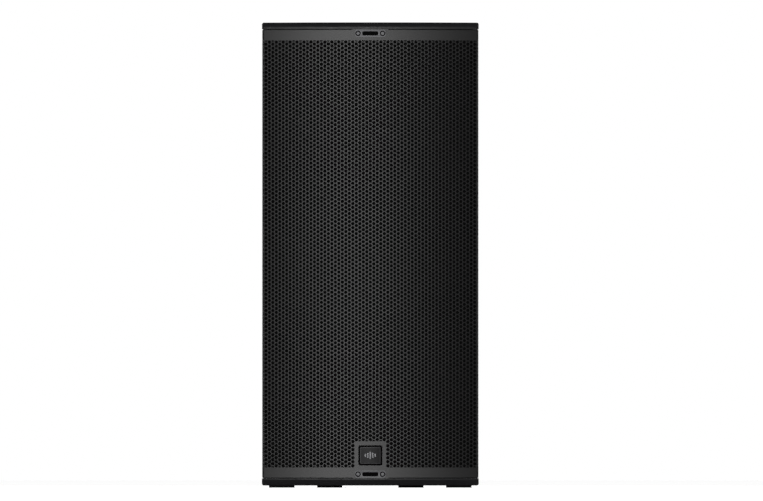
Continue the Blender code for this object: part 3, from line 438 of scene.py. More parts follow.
def make_panel(name, node, low, high, outwards):
    """The top or bottom panel: the footprint carried up by insets.

    Along the front they slope in, softened; elsewhere their outer part is a quarter circle.
    """
    slope, up = softened(np.array([(0.3, 0), (0, 0.3), *RIM[outwards]]) * MM, 1.8 * MM, steps=6).T
    total = high - low
    turn = np.linspace(0, math.pi / 2, 10)
    rise = np.unique(np.concatenate([up, total - ROUND * (1 - np.sin(turn))]).round(7))
    front = np.interp(rise, up, slope)
    climb = np.clip((rise - total) / ROUND + 1, 0, 1)
    beside = np.where(climb > 0, ROUND * (1 - np.sqrt(1 - climb**2)), front * (rise < total / 2) * (rise < 0.3 * MM))
    heights = low + rise if outwards > 0 else high - rise
    rings = [np.column_stack([outline := footprint(i, b), np.full(len(outline), z)])
             for i, b, z in zip(front, beside, heights)]
    lofted(name, rings, "paint", node=node)


# ---------------------------------------------------------------- grille


def bend_centre():
    """The middle of the bend that joins the front arc to the flange along the side wall."""
    inward = FLANGE_INWARD + BEND_RADIUS
    start = Vector((WIDTH / 2 - inward * math.cos(TAPER), CORNER_Y - inward * math.sin(TAPER) - ARC_CENTRE_Y))
    along = Vector((-math.sin(TAPER), math.cos(TAPER)))
    middle = start.dot(along)
    travel = -middle - math.sqrt(middle**2 - start.length_squared + (FRONT_RADIUS - GRILLE_INSET - BEND_RADIUS) ** 2)
    return start + travel * along + Vector((0, ARC_CENTRE_Y)), travel


ARC = FRONT_RADIUS - GRILLE_INSET
BEND, BEND_ALONG = bend_centre()
ARC_HALF_ANGLE = math.atan2(BEND.x, ARC_CENTRE_Y - BEND.y)
ARC_HALF_LENGTH = ARC * ARC_HALF_ANGLE
BEND_SWEEP = math.pi / 2 - ARC_HALF_ANGLE + TAPER
FLAT_HALF = ARC_HALF_LENGTH + BEND_RADIUS * BEND_SWEEP + FLANGE_LENGTH - BEND_ALONG


def on_grille(u, v, depth):
    """The flat sheet bent to the cabinet: u runs along its outer skin from the middle, v is height, depth goes inwards.

    On the front it lies on the arc, (R sin a, c - R cos a) with a = u / R; then it rounds the bend, and last it
    runs straight along the side wall.
    """
    side, run = np.sign(u), np.abs(u)
    arc = np.minimum(run, ARC_HALF_LENGTH) / ARC
    turn = np.clip((run - ARC_HALF_LENGTH) / BEND_RADIUS, 0, BEND_SWEEP)
    straight = np.maximum(run - ARC_HALF_LENGTH - BEND_RADIUS * BEND_SWEEP, 0)
    heading = arc + turn - math.pi / 2  # direction of the outward normal
    on_arc = run <= ARC_HALF_LENGTH
    x = np.where(on_arc, ARC * np.cos(heading), BEND.x + BEND_RADIUS * np.cos(heading))
    y = np.where(on_arc, ARC_CENTRE_Y + ARC * np.sin(heading), BEND.y + BEND_RADIUS * np.sin(heading))
    x = x - straight * math.sin(TAPER) - depth * np.cos(heading)
    y = y + straight * math.cos(TAPER) - depth * np.sin(heading)
    return np.stack([side * x, y, v + 0 * x], axis=-1)


ROOT3 = math.sqrt(3)
STEP = PITCH * ROOT3 / 2  # from column to column
OUTER, EDGE, INNER = PITCH / ROOT3, (HOLE + 0.6 * MM) / ROOT3, HOLE / ROOT3  # corner radii of the three hexagons
CHAMFER = 0.32 * MM
PATTERN_LOW = FIRST_ODD - HOLE / 2 - 0.3 * MM
PATTERN_HIGH = FIRST_ODD + (ROWS - 2) * PITCH + HOLE / 2 + 0.3 * MM
BADGE_TOP = FIRST_ODD + 6.5 * PITCH - HOLE / 2 - 0.3 * MM
BADGE_HALF = (BADGE_COLUMNS + 1) * STEP - OUTER
SIDE_HALF = COLUMNS * STEP + OUTER
WINDOW_HALF = 28.9 * MM
WINDOW_LOW, WINDOW_HIGH = FIRST_ODD, FIRST_ODD + 5 * PITCH
WINDOW_LIFT = BADGE_Z - (WINDOW_LOW + WINDOW_HIGH) / 2
WIDEN = 1.0023  # the pattern is this much wider than a regular one
COARSE = np.array([(1, 0), (1, 1), (-1, 1), (-1, 0), (-1, -1), (1, -1)], float)
FINE = np.array(
    [(1, 0), (1, 1), (1 / 3, 1), (-1 / 3, 1), (-1, 1), (-1, 0), (-1, -1), (-1 / 3, -1), (1 / 3, -1), (1, -1)], float
)


def honeycomb(upper):
    """Cells of one half of the sheet: column number, middle (u, v), and the heights between which they are cut."""
    columns = np.arange(-COLUMNS, COLUMNS + 1)
    column, row = (a.ravel() for a in np.meshgrid(columns, np.arange(ROWS), indexing="ij"))
    odd = column % 2 == 1
    v = np.where(odd, FIRST_ODD, FIRST_ODD - PITCH / 2) + row * PITCH
    low = np.where(np.abs(column) <= BADGE_COLUMNS, BADGE_TOP, PATTERN_LOW)
    keep = (v + PITCH / 2 > low + 1e-6) & (v - PITCH / 2 < PATTERN_HIGH - 1e-6)
    keep &= (v > (GRILLE_LOW + GRILLE_HIGH) / 2) == upper
    return column[keep], column[keep] * STEP, v[keep], low[keep], np.full(keep.sum(), PATTERN_HIGH)


def cell_ring(template, size, cells, cut_size=None):
    """Corners of hexagons of one size round the cells' middles, cut off level at the cells' limits.

    A hexagon's half width at height w is size - |w| / root 3, so a corner past a limit slides along its edge.
    """
    u, v, low, high = (a[:, None] for a in cells[1:])
    wanted = template[:, 1] * size * ROOT3 / 2
    w = np.clip(wanted, low - v, high - v)
    width = np.where((w != wanted) & (cut_size is not None), cut_size or 0, size)
    return u + template[:, 0] * np.maximum(width - np.abs(w) / ROOT3, 0), v + w


def sheet_half(upper):
    """One half of the perforated sheet, flat: front faces first, then walls and a back, then bent to shape.

    Each hole's cell is a hexagon of web, a rounded edge and a wall. The bands beyond the pattern join on the points
    that the cut cells leave on their line.
    """
    every = honeycomb(upper)
    parts, web, lip, partner = [], [], [], []
    total = 0

    def points(u, v, depth):
        nonlocal total
        u, v, depth = np.broadcast_arrays(u, v, depth)
        parts.append(np.stack([u, v, depth], axis=-1).reshape(-1, 3))
        numbers = np.arange(total, total + u.size).reshape(u.shape)
        total += u.size
        return numbers

    for template, chosen in ((COARSE, np.abs(every[0]) < BENT_COLUMNS), (FINE, np.abs(every[0]) >= BENT_COLUMNS)):
        cells = tuple(a[chosen] for a in every)
        column = cells[0][:, None]
        u, v = cell_ring(template, OUTER, cells)
        by_badge = (np.abs(column) == BADGE_COLUMNS + 1) & (np.sign(column) * template[:, 0] < -0.5) & (v < BADGE_TOP)
        u = np.where(by_badge, np.sign(column) * BADGE_HALF, u)
        u = np.where((np.abs(column) == COLUMNS) & (np.sign(column) * template[:, 0] > 0.5), np.sign(u) * SIDE_HALF, u)
        outer = points(u, v, 0.0)
        edge = points(*cell_ring(template, EDGE, cells, INNER), 0.0)
        inner_u, inner_v = cell_ring(template, INNER, cells)
        inner = points(inner_u, inner_v, CHAMFER)
        tall = inner_v.max(axis=1) - inner_v.min(axis=1) > 0.8 * MM
        partner.append((edge[tall].ravel(), inner[tall].ravel()))
        after = np.roll(np.arange(len(template)), -1)
        for first, second, into in ((outer, edge, web), (edge, inner, lip)):
            faces = np.stack([first, first[:, after], second[:, after], second], axis=-1)
            into.append(faces[tall].reshape(-1, 4))
        plain = outer[~tall]
        middle = points(cells[1][~tall], np.clip(cells[2], cells[3], cells[4])[~tall], 0.0)[:, None]
        web.append(np.stack([plain, plain[:, after], middle + 0 * plain, middle + 0 * plain], axis=-1).reshape(-1, 4))
        for side in (-1, 1):  # the plain strip down the flange's edge
            at_edge = cells[0] == side * COLUMNS
            if at_edge.any():
                height = v[at_edge][:, template[:, 0] == side]
                height = np.sort(height, axis=1)
                near, far = points(side * SIDE_HALF, height, 0.0), points(side * FLAT_HALF, height, 0.0)
                strip = np.stack([near[:, :-1], near[:, 1:], far[:, 1:], far[:, :-1]], axis=-1).reshape(-1, 4)
                web.append(strip if side < 0 else strip[:, ::-1])

    def level(height, half):
        """The places along u of the front points on one height, out to half."""
        flat = np.concatenate(parts)
        on = (np.abs(flat[:, 1] - height) < 1e-6) & (flat[:, 2] < 1e-6) & (np.abs(flat[:, 0]) < half + 1e-6)
        return np.unique(np.round(flat[on, 0], 7))

    def strip(u, low, high):
        numbers = points(u[:, None], np.array([low, high]), 0.0)
        web.append(np.stack([numbers[:-1, 0], numbers[1:, 0], numbers[1:, 1], numbers[:-1, 1]], axis=-1))

    tab = 1.7 * MM
    if upper:
        u = np.unique(np.concatenate([level(PATTERN_HIGH, FLAT_HALF), [-TAB_HALF, TAB_HALF]]))
        strip(u, PATTERN_HIGH, GRILLE_HIGH)
        strip(u[np.abs(u) <= TAB_HALF], GRILLE_HIGH, GRILLE_HIGH + tab)
    else:
        over = level(BADGE_TOP, BADGE_HALF + 1 * MM)
        inner = np.unique(np.concatenate([over[np.abs(over) < WINDOW_HALF], [-WINDOW_HALF, WINDOW_HALF]]))
        shelf = np.concatenate([[-BADGE_HALF], inner, [BADGE_HALF]])
        u = np.unique(np.concatenate([level(PATTERN_LOW, FLAT_HALF), shelf, [-TAB_HALF, TAB_HALF]]).round(7))
        strip(u, GRILLE_LOW, PATTERN_LOW)
        strip(u[np.abs(u) <= TAB_HALF], GRILLE_LOW - tab, GRILLE_LOW)
        middle = FIRST_ODD + 6 * PITCH
        strip(np.unique(np.concatenate([shelf, over[np.abs(over) <= BADGE_HALF]]).round(7)), WINDOW_HIGH, middle)
        strip(over, middle, BADGE_TOP)
        strip(shelf, PATTERN_LOW, WINDOW_LOW)
        heights = WINDOW_LOW + np.arange(11) * PITCH / 2
        for side in (-1, 1):
            numbers = points(np.array([BADGE_HALF, WINDOW_HALF]) * side, heights[:, None], 0.0)
            faces = np.stack([numbers[:-1, 0], numbers[:-1, 1], numbers[1:, 1], numbers[1:, 0]], axis=-1)
            web.append(faces if side < 0 else faces[:, ::-1])
        beside = {1: inner, -1: over[np.abs(over) < WINDOW_HALF - 1e-6]}
        for side, end in ((-1, 1), (1, 1), (1, -1), (-1, -1)):
            corner = np.array([side * WINDOW_HALF, WINDOW_LOW if end > 0 else heights[10]])
            near = beside[end][np.abs(beside[end]) < WINDOW_HALF - 1e-6]
            reach = np.array([near.max() if side > 0 else near.min(), heights[1 if end > 0 else 9]]) - corner
            t = np.linspace(0, math.pi / 2, 8)[:, None]
            curve = corner + reach * (1 - np.hstack([np.cos(t), np.sin(t)]) ** (2 / 3.2))
            numbers = points(*np.vstack([corner, curve]).T, 0.0)
            fan = np.stack([np.full(7, numbers[0]), numbers[2:], numbers[1:-1], numbers[1:-1]], axis=-1)
            web.append(fan if side * end < 0 else fan[:, [0, 2, 1, 1]])

    flat, same = np.unique(np.concatenate(parts).round(7), axis=0, return_inverse=True)
    same = same.ravel()
    behind = np.arange(len(flat))
    for edge, inner in partner:
        behind[same[edge]] = same[inner]
    web, lip = same[np.concatenate(web)], same[np.concatenate(lip)]

    def tidy(faces):
        """Faces without repeated corners or empty area, as quads and triangles."""
        distinct = faces != np.roll(faces, -1, axis=1)
        groups = [faces[distinct.all(axis=1)]]
        three = distinct.sum(axis=1) == 3
        groups.append(faces[three][distinct[three]].reshape(-1, 3))
        kept = []
        for group in groups:
            a, b, c, d = (flat[group[:, k]] for k in (0, 1, 2, -1))
            area = np.cross(b - a, c - a) + (np.cross(c - a, d - a) if group.shape[1] == 4 else 0)
            kept.append(group[np.linalg.norm(area, axis=1) > 1e-11])
        return kept

    front = tidy(web) + tidy(lip)
    back = [group[:, ::-1] + len(flat) for group in tidy(behind[web])]
    edges = np.concatenate([np.stack([g, np.roll(g, -1, axis=1)], axis=-1).reshape(-1, 2) for g in front])
    code, reverse = edges @ [len(flat), 1], edges @ [1, len(flat)]
    rim = edges[~np.isin(code, reverse)]
    walls = np.stack([rim[:, 1], rim[:, 0], behind[rim[:, 0]] + len(flat), behind[rim[:, 1]] + len(flat)], axis=-1)
    walls = walls[(walls[:, 2] != walls[:, 3])]
    off_middle = np.abs(flat[:, :2] - (0, (WINDOW_LOW + WINDOW_HIGH) / 2))
    at_window = (off_middle < (WINDOW_HALF + 1e-6, (WINDOW_HIGH - WINDOW_LOW) / 2 + 1e-6)).all(axis=1)
    flat += np.column_stack([flat[:, 0] * (WIDEN - 1), at_window * WINDOW_LIFT, np.zeros(len(flat))])
    bent = np.concatenate([on_grille(*flat.T), on_grille(flat[:, 0], flat[:, 1], SHEET)])
    return bent, [*front, *back, walls]


def make_grille():
    """The perforated sheet in two halves, with the strips behind its top and bottom edges that stiffen it."""
    for half, upper in (("lower", False), ("upper", True)):
        piece(f"grille_{half}_half", *sheet_half(upper), "grille", node="grille", sharp=38)
    for end, z in (("bottom", GRILLE_LOW), ("top", GRILLE_HIGH - SHEET)):
        u = np.linspace(-0.215, 0.215, 60)
        corners = [(z, SHEET), (z + SHEET, SHEET), (z + SHEET, 0.0125), (z, 0.0125)]
        rings = [on_grille(np.full(4, a), *np.array(corners).T) for a in u]
        lofted(f"grille_stiffener_{end}", rings, "grille", sharp=30)


def make_side_gaskets():
    """Foam strips between the grille's margins and the front ends of the side walls: a section carried upwards."""
    for side, sign in SIDES.items():
        u = sign * np.linspace(0.2435, 0.2595, 12)
        outline = np.concatenate([on_grille(u, 0.0, 1.9 * MM), on_grille(u[::-1], 0.0, 3.4 * MM)])
        rings = [outline + (0, 0, z) for z in (FLOOR_TOP + 1 * MM, CEILING - 1 * MM)]
        lofted(f"grille_gasket_{side}", rings, "foam")


def make_cloth():
    """Scrim stretched behind the grille: a thin arc, as wide as the gap between the side walls."""
    half, low, high = 0.2425, GRILLE_LOW + 0.0045, GRILLE_HIGH - 0.0045
    radius = FRONT_RADIUS - (GRILLE_INSET + SHEET + 2.4 * MM)
    x, z = np.linspace(-half, half, 40), np.linspace(low, high, 60)
    points = np.stack(np.broadcast_arrays(x, ARC_CENTRE_Y - np.sqrt(radius**2 - x**2), z[:, None]), axis=-1)
    cloth = piece("grille_scrim", points.reshape(-1, 3), [quads(60, 40)], "cloth", node="grille_cloth")
    thick = cloth.modifiers.new("thickness", "SOLIDIFY")
    thick.thickness = 0.5 * MM
    thick.offset = 0


def make_screw(name, place, head, shank, length, socket, finish_key, node=None):
    """A socket screw along local -Z, in mm: a rounded head with a hexagon recess, and its shank."""
    tall = head * 0.2
    hexagon = circle(socket / ROOT3, steps=6)
    plate(name, [circle(head / 2, steps=32), hexagon], tall, 0.25, place, finish_key, slot="screws", node=node)
    below = place @ Matrix.Translation((0, 0, -length * MM))
    profile = [(0, 0), (shank * 0.3, 0), (shank * 0.5, shank * 0.3), (shank * 0.5, length - 0.1),
               (head * 0.45, length - 0.1), (head * 0.45, length + tall * 0.35), (0, length + tall * 0.35)]
    turned(f"{name}_stem", profile, below, finish_key, steps=24, slot="screws")


def make_clamps():
    """The two plates that hold the grille: a chamfered outline, a slot, two dished screw seats and a foam backing."""
    x, y, cut = 37 * MM, 9.25 * MM, 3.2 * MM
    outline = np.array([(x, cut - y), (x, y - cut), (x - cut, y), (cut - x, y), (-x, y - cut), (-x, cut - y),
                        (cut - x, -y), (x - cut, -y)])
    holes = [rounded_rectangle(38.4, 9.6, 3.2)]
    holes += [circle(6.45, s * CLAMP_SCREW_X, 0, 32) for s in SIDES.values()]
    cup = [(6.1, 0.0), (6.35, 0.0), (6.35, 0.25), (6.1, 0.3), (4.4, 0.1), (2.6, 0.1), (2.6, 0.0)]
    for end, z in CLAMP_Z.items():
        plate(f"grille_clamp_plate_{end}", [outline, *holes], 2, 0.3, in_front(0, 2, z), "clamp",
              node=f"grille_clamp_{end}")
        backing = rounded_rectangle(70, 14.5, 2)
        plate(f"clamp_backing_{end}", [backing], 0.2, 0.05, in_front(0, 2.25, z), "foam", rounding=0)
        for side, sign in SIDES.items():
            at = in_front(sign * CLAMP_SCREW_X * MM, 2.04, z)
            turned(f"clamp_washer_{end}_{side}", cup, at, "foam", steps=40, loop=True)
            seat = in_front(sign * CLAMP_SCREW_X * MM, 1.85, z)
            make_screw(f"clamp_bolt_{end}_{side}", seat, 8.0, 4.4, 58, 2.4, "bolt", f"clamp_screw_{end}_{side}")


def make_badge():
    """A moulded badge: a plate with a raised face, and an emblem of five sound-level bars standing on it."""
    layers = {  # width, height and corner radius, thickness and edge, depth behind the front, all in mm; then finish
        "body": (50, 41, 2.2, 3.6, 0.5, 4.8, "badge_rim", "badge"),
        "carrier": (62, 54, 3, 0.8, 0.1, 6.2, "foam", None),
        "face": (45.0, 36.0, 1.2, 0.3, 0.12, 1.24, "badge", None),
    }
    for name, (wide, high, radius, thick, edge, depth, finish_key, node) in layers.items():
        outline = rounded_rectangle(wide, high, radius)
        plate(f"badge_{name}", [outline], thick, edge, in_front(0, depth, BADGE_Z), finish_key, node=node)
    for number, tall in enumerate((8.0, 13.0, 18.0, 13.0, 8.0)):
        bar = rounded_rectangle(3.4, tall, 1.4, (number - 2) * 5.9)
        plate(f"badge_emblem_{number}", [bar], 0.5, 0.12, in_front(0, 0.98, BADGE_Z), "emblem")


def make_feet():
    """Rubber feet with rounded edges, each held by a sunk screw."""
    washer = [(0, 2.4), (4.6, 2.4), (4.6, 3.2), (0, 3.2)]
    outlines = [rounded_rectangle(62, 40, 4), circle(5, steps=24)]
    for row, (x, y) in {"front": (0.214, -0.190), "rear": (0.099, 0.200)}.items():
        for side, sign in SIDES.items():
            place = Matrix.Translation((sign * x, y, 0))
            plate(f"{row}_foot_pad_{side}", outlines, 5.0, 0.8, place, "rubber", node=f"{row}_foot_{side}")
            turned(f"{row}_foot_washer_{side}", washer, place, "screw", steps=24)


# ---------------------------------------------------------------- handles and fly points


def make_handles():
    """A dished handle in each side wall: rings of a rounded rectangle down the dish, and a ribbed bar across it."""
    wide, high, deep, draft, wall, flange = 160, 92, 55, 9, 2.5, 12
    path = [  # how much a ring is grown on each side, its depth and its corner radius
        (-draft - 6, deep, 9), (-draft - 2.2, deep - 0.6, 11), (-draft - 0.5, deep - 2.8, 12),
        (-draft + 0.4, deep - 6, 12), (-draft / 2, deep / 2, 13), (-0.6, 1, 13.5), (-0.1, -1.2, 14),
        (0.8, -2, 14.5), (2, -2.2, 15), (flange - 1.2, -2.2, 18), (flange - 0.3, -1.8, 18.7),
        (flange, -1, 19), (flange, -0.3, 19), (wall, -0.3, 13.5), (-draft + wall, deep + wall, 13.5),
    ]
    rings = []
    for grow, depth, radius in path:
        outline = rounded_rectangle(wide + 2 * grow, high + 2 * grow, radius)
        rings.append(np.column_stack([outline[:, 0], np.full(len(outline), depth * MM), outline[:, 1]]))
    handle_y, handle_z = 0.013, 0.640
    bar_depth, bar_z = 16, 12
    half = wide / 2 - draft * (bar_depth + 12) / deep - 1.2
    turn = np.linspace(-0.5, 0.5, 61)
    grip = 11.3 - 0.8 * np.abs(2 * turn) ** 3 - 0.3 * (np.arange(61) % 2)  # shallow ribs round the grip
    profile = [(0, -half), (7, -half), (7, 11 - half), *np.column_stack([grip, turn * 2 * (half - 14)]),
               (7, half - 11), (7, half), (0, half)]
    for side, sign in SIDES.items():
        x = WIDTH / 2 - (handle_y - CORNER_Y) * math.tan(TAPER)
        turned_out = Matrix.Rotation(sign * (math.pi / 2 + TAPER), 4, "Z")
        place = Matrix.Translation((sign * x, handle_y, handle_z)) @ turned_out
        lofted(f"handle_cup_{side}", rings, "abs", place=place, node=f"handle_dish_{side}")
        lay = place @ Matrix.Translation((0, bar_depth * MM, bar_z * MM)) @ Matrix.Rotation(math.pi / 2, 4, "Y")
        turned(f"handle_grip_{side}", profile, lay, "rubber", steps=40, sharp=50, node=f"handle_bar_{side}")
        for number, (a, b) in enumerate(((-1, -1), (1, -1), (1, 1), (-1, 1))):
            seat = place @ Matrix.Translation((a * 0.0835, -0.0021, b * 0.0495)) @ Matrix.Rotation(math.pi / 2, 4, "X")
            make_screw(f"handle_screw_{side}_{number}", seat, 6.0, 3.4, 14, 2.4, "cast")


def make_fly_points():
    """Flush threaded inserts in the top: a dished flange, and a bore whose thread is drawn as rings 1.5 mm apart."""
    depth = np.arange(1.2, 21.5, 1.5 / 2)
    bore = np.column_stack([np.where(np.arange(len(depth)) % 2, 4.3, 4.9), -depth])
    profile = [(0, -22), (4.3, -22), *bore[::-1], (5.6, 0), (8.5, 0), (10, -1), (16.5, -1), (17.6, 0), (18.6, 0),
               (19, -0.4), (19, -2.4), (13, -2.4), (13, -28), (0, -28)]
    for side, sign in SIDES.items():
        place = Matrix.Translation((sign * 0.150, -0.060, HEIGHT))
        turned(f"fly_insert_{side}", profile, place, "cast", steps=56, slot="fly_points", node=f"fly_point_{side}")


# ---------------------------------------------------------------- amplifier

AMP_Z = 0.360
AMP_PLATE = (236, 444, 3)  # width, height and thickness, in mm
ENCODER = (0.048, 0.520)
DISPLAY = (-0.045, 0.520)
SOCKETS = ((-0.062, 0.446), (-0.020, 0.446))
GAP = 0.3  # from the plate's face to the sockets' flanges, in mm
TAB_Z = 11.8  # in mm
INLET_Z = 0.176
WELL_X = -0.0125
ROCKER_X = 0.0155


def on_rear(x, out, z):
    """A place that faces the rear, out mm past the face of the rear plate."""
    return facing(x, PLATE_FACE_Y + out * MM, z, "rear")


def at_rear(outline, x, z):
    """An outline about (x, z) in the frame of a plate that faces the rear, where world x runs the other way."""
    return np.asarray(outline) * (-1, 1) + (-x, z)


def inlet_shape():
    """The mains socket's outline: a rectangle whose upper corners are cut off."""
    x, z = 0.0122, 0.0088
    return np.array([(-x, -z), (x, -z), (x, 0.0030), (0.0070, z), (-0.0070, z), (-x, 0.0030)])


def make_amplifier_plate():
    """The rear plate with its openings and screws, printed frames, display, lamps and heat sink."""
    width, height, thick = AMP_PLATE
    holes = [at_rear(circle(4), ENCODER[0], ENCODER[1] - AMP_Z)]
    holes += [at_rear(circle(11.8), x, z - AMP_Z) for x, z in SOCKETS]
    holes.append(at_rear(rounded_rectangle(59, 26, 2), 0, INLET_Z - AMP_Z))
    holes.append(at_rear(rounded_rectangle(60, 36, 2), DISPLAY[0], DISPLAY[1] - AMP_Z))
    outline = rounded_rectangle(width, height, 6)
    plate("amplifier_plate", [outline, *holes], thick, 0.4, on_rear(0, -thick, AMP_Z), "anodised", node="amp_plate")

    frames = {"inputs": (-0.041, 0.446, 98, 50), "control": (0.001, 0.520, 182, 56), "mains": (0.0, INLET_Z, 98, 56)}
    for name, (x, z, wide, high) in frames.items():
        line, radius = 0.7, 3
        outlines = [at_rear(rounded_rectangle(wide - 2 * inner, high - 2 * inner, radius - inner), x, z - AMP_Z)
                    for inner in (0, line)]
        plate(f"printed_frame_{name}", outlines, 0.12, 0.02, on_rear(0, -0.02, AMP_Z), "ink", rounding=0)

    bezel = [rounded_rectangle(66, 42, 4), rounded_rectangle(54, 30, 1.5)]
    layers = {"bezel": (bezel, 2.4, 0.6, -0.6, "abs"),
              "window": ([rounded_rectangle(57.5, 33.5, 1)], 1.6, 0.2, -1.6, "glass"),
              "module": ([rounded_rectangle(58, 34, 1)], 5.6, 0.2, -8, "board")}
    for name, (outlines, thick, edge, out, finish_key) in layers.items():
        plate(f"display_{name}", outlines, thick, edge, on_rear(DISPLAY[0], out, DISPLAY[1]), finish_key)

    lens = softened([(0, 0), (1.5, 0), (1.5, 1.9), (0, 2.3)], 0.6)
    for number in range(3):
        turned(f"status_lamp_{number}", lens, on_rear(0.018 + 0.012 * number, -1, 0.462), "lamp", steps=24)

    seats = [(s * 0.110, z) for s in SIDES.values() for z in (0.149, 0.255, 0.360, 0.465, 0.571)]
    for number, (x, z) in enumerate(seats):
        make_screw(f"amp_plate_screw_{number}", on_rear(x, -0.05, z), 6.6, 3.8, 16, 2.6, "screw")

    fins, pitch, fin = 13, 0.0155, 0.0022
    base, tip = PLATE_FACE_Y + 0.0003, BACK_Y - 0.003
    half = (fins - 1) * pitch / 2 + fin / 2
    outline = [(-half, base), (half, base)]
    for k in reversed(range(fins)):
        middle = (k - (fins - 1) / 2) * pitch
        outline += [(middle + fin / 2, tip), (middle - fin / 2, tip)]
        if k:
            outline += [(middle - fin / 2, base + 0.004), (middle - pitch + fin / 2, base + 0.004)]
    plate("heat_sink_extrusion", [np.array(outline)], 180, 0.25, Matrix.Translation((0, 0, 0.222)), "anodised",
          node="heat_sink")


def make_controls():
    """The encoder's shaft, and its fluted knob: rings whose radius swells and shrinks 36 times round."""
    place = on_rear(ENCODER[0], 0, ENCODER[1])
    profile = softened([(0, -20), (3, -20), (3, 11.8), (0, 11.8)], 0.4)
    turned("encoder_spindle", profile, place, "nickel", steps=32, body="encoder_shaft", node="encoder_shaft")
    nut = [(3.3, -1.0), (3.9, -1.0), (3.9, 0.7), (5.6, 0.7), (5.6, 1.6), (3.3, 1.6)]
    turned("encoder_collar", nut, place, "nickel", steps=32, loop=True, slot="screws")
    turn = np.linspace(0, math.tau, 288, endpoint=False)
    profile = [  # radius, height and how deep the flutes are there
        (3.3, 11.9, 0), (3.3, 2.4, 0), (12.2, 2.4, 0), (12.9, 3, 0), (12.9, 4.2, 0), (12.8, 5, 0.6), (12.5, 13, 0.6),
        (12.1, 14.2, 0.4), (11.3, 15, 0), (9.8, 15, 0), (8.8, 14.4, 0), (8.2, 14.3, 0),
    ]
    rings = []
    for radius, height, flute in profile:
        fluted = radius - flute * (0.5 + 0.5 * np.cos(36 * turn))
        rings.append(np.column_stack([fluted * np.cos(turn), fluted * np.sin(turn), height + 0 * turn]) * MM)
    lofted("encoder_cap", rings, "rubber", place=place, body="encoder_knob", node="encoder_knob")
    pointer = rounded_rectangle(1.2, 6, 0.5, 0, 4.5)
    plate("encoder_pointer", [pointer], 0.25, 0.05, on_rear(ENCODER[0], 14.3, ENCODER[1]), "ink", slot="rubber",
          body="encoder_knob")


def make_sockets():
    """Two combination input sockets: flange, barrel, an insert with three contacts round a jack, and a latch tab."""
    notch = rounded_rectangle(8.6, 5.4, 0.8, 0, TAB_Z)
    tube = [(9.6, -0.4), (11.2, -0.4), (11.2, -24), (0, -24), (0, -21.5), (9.6, -21.5)]
    spring = [(3.1, -19.5), (3.3, -19.5), (3.3, -4), (3.1, -4)]
    contacts = [circle(1.2, 6.3 * math.cos(t), 6.3 * math.sin(t), 16) for t in (2.53, 0.61, 4.71)]
    for number, (x, z) in enumerate(SOCKETS, 1):
        place = on_rear(x, GAP, z)
        plate(f"socket_flange_{number}", [rounded_rectangle(26, 31, 3), circle(9.6), notch], 2, 0.4, place,
              "abs", node=f"input_socket_{number}")
        turned(f"socket_barrel_{number}", tube, place, "abs", steps=48, loop=True)
        plate(f"socket_insert_{number}", [circle(9.4), circle(3.4, steps=32), *contacts], 3.0, 0.3,
              on_rear(x, GAP - 5, z), "abs")
        turned(f"socket_sleeve_{number}", spring, place, "nickel", steps=32, loop=True)
        plate(f"latch_button_{number}", [rounded_rectangle(7.8, 4.6, 1)], 3.0, 0.5,
              on_rear(x, GAP + 1.6, z + TAB_Z * MM), "nickel", body=f"latch_tab_{number}", node=f"latch_tab_{number}")
        for side, sign in enumerate((-1, 1)):
            seat = on_rear(x + sign * 0.0098, GAP + 1.9, z + sign * 0.0120)
            make_screw(f"socket_screw_{number}_{side}", seat, 3.6, 2.2, 8, 1.5, "screw")


def make_power_inlet():
    """The mains inlet: a flange, a well with three pins, and a rocker with a hollowed face on its own axis."""
    place = on_rear(0, GAP, INLET_Z)
    opening = at_rear(rounded_rectangle(13.4, 21.6, 0.6), ROCKER_X, 0)
    well = at_rear(inlet_shape(), WELL_X, 0)
    plate("inlet_flange", [rounded_rectangle(68, 34, 3), well, opening], 2, 0.5, place, "abs",
          node="power_inlet")
    for name, shape, deep in (("well", well, 0.016), ("rocker_frame", opening, 0.0165)):
        middle = shape.mean(axis=0)
        wall = middle + (shape - middle) * 1.12
        layers = [(shape, 0.0006), (shape, -deep), (wall, -deep - 0.0015), (wall, 0.0006)]
        rings = [np.column_stack([outline, np.full(len(outline), h)]) for outline, h in layers]
        lofted(f"inlet_{name}", rings, "abs", place=place, loop=True)
        bottom = on_rear(0, GAP - deep / MM - 1.5, INLET_Z)
        plate(f"inlet_{name}_floor", [wall], 1.5, 0.1, bottom, "abs", rounding=0)
    for number, (a, b) in enumerate(((-0.007, -0.001), (0.007, -0.001), (0.0, 0.004))):
        seat = on_rear(WELL_X + a, GAP - 17, INLET_Z + b)
        plate(f"inlet_pin_{number}", [rounded_rectangle(2, 4, 0.5)], 14, 0.3, seat, "nickel")
    for side, sign in SIDES.items():
        make_screw(f"inlet_screw_{side}", on_rear(sign * 0.0295, GAP + 1.9, INLET_Z), 4.4, 2.6, 10, 1.8, "screw")

    high = 0.0096
    t = np.linspace(-1, 1, 13)
    hollow = np.column_stack([0.0035 + 0.0015 * t**2, t * high])
    back = np.column_stack([-0.0060 + 0.0020 * t[::-1] ** 2, t[::-1] * 0.8 * high])
    axle = (ROCKER_X, PLATE_FACE_Y + (GAP - 4.2) * MM, INLET_Z)
    axis = Matrix.Translation(axle) @ Matrix.Rotation(math.radians(-12), 4, "X")
    lay = Matrix(((0, 0, 1), (1, 0, 0), (0, 1, 0))).to_4x4() @ Matrix.Translation((0, 0, -6.1 * MM))
    plate("power_rocker_cap", [np.concatenate([hollow, back])], 12.2, 0.5, axis @ lay, "abs", body="power_rocker",
          node="power_rocker")


# ---------------------------------------------------------------- drivers


def along_y(y, z):
    """Carries local Z to world +Y, so that a profile's heights are depths behind y."""
    return Matrix.Translation((0, y, z)) @ Matrix(((-1, 0, 0), (0, 0, 1), (0, 1, 0))).to_4x4()


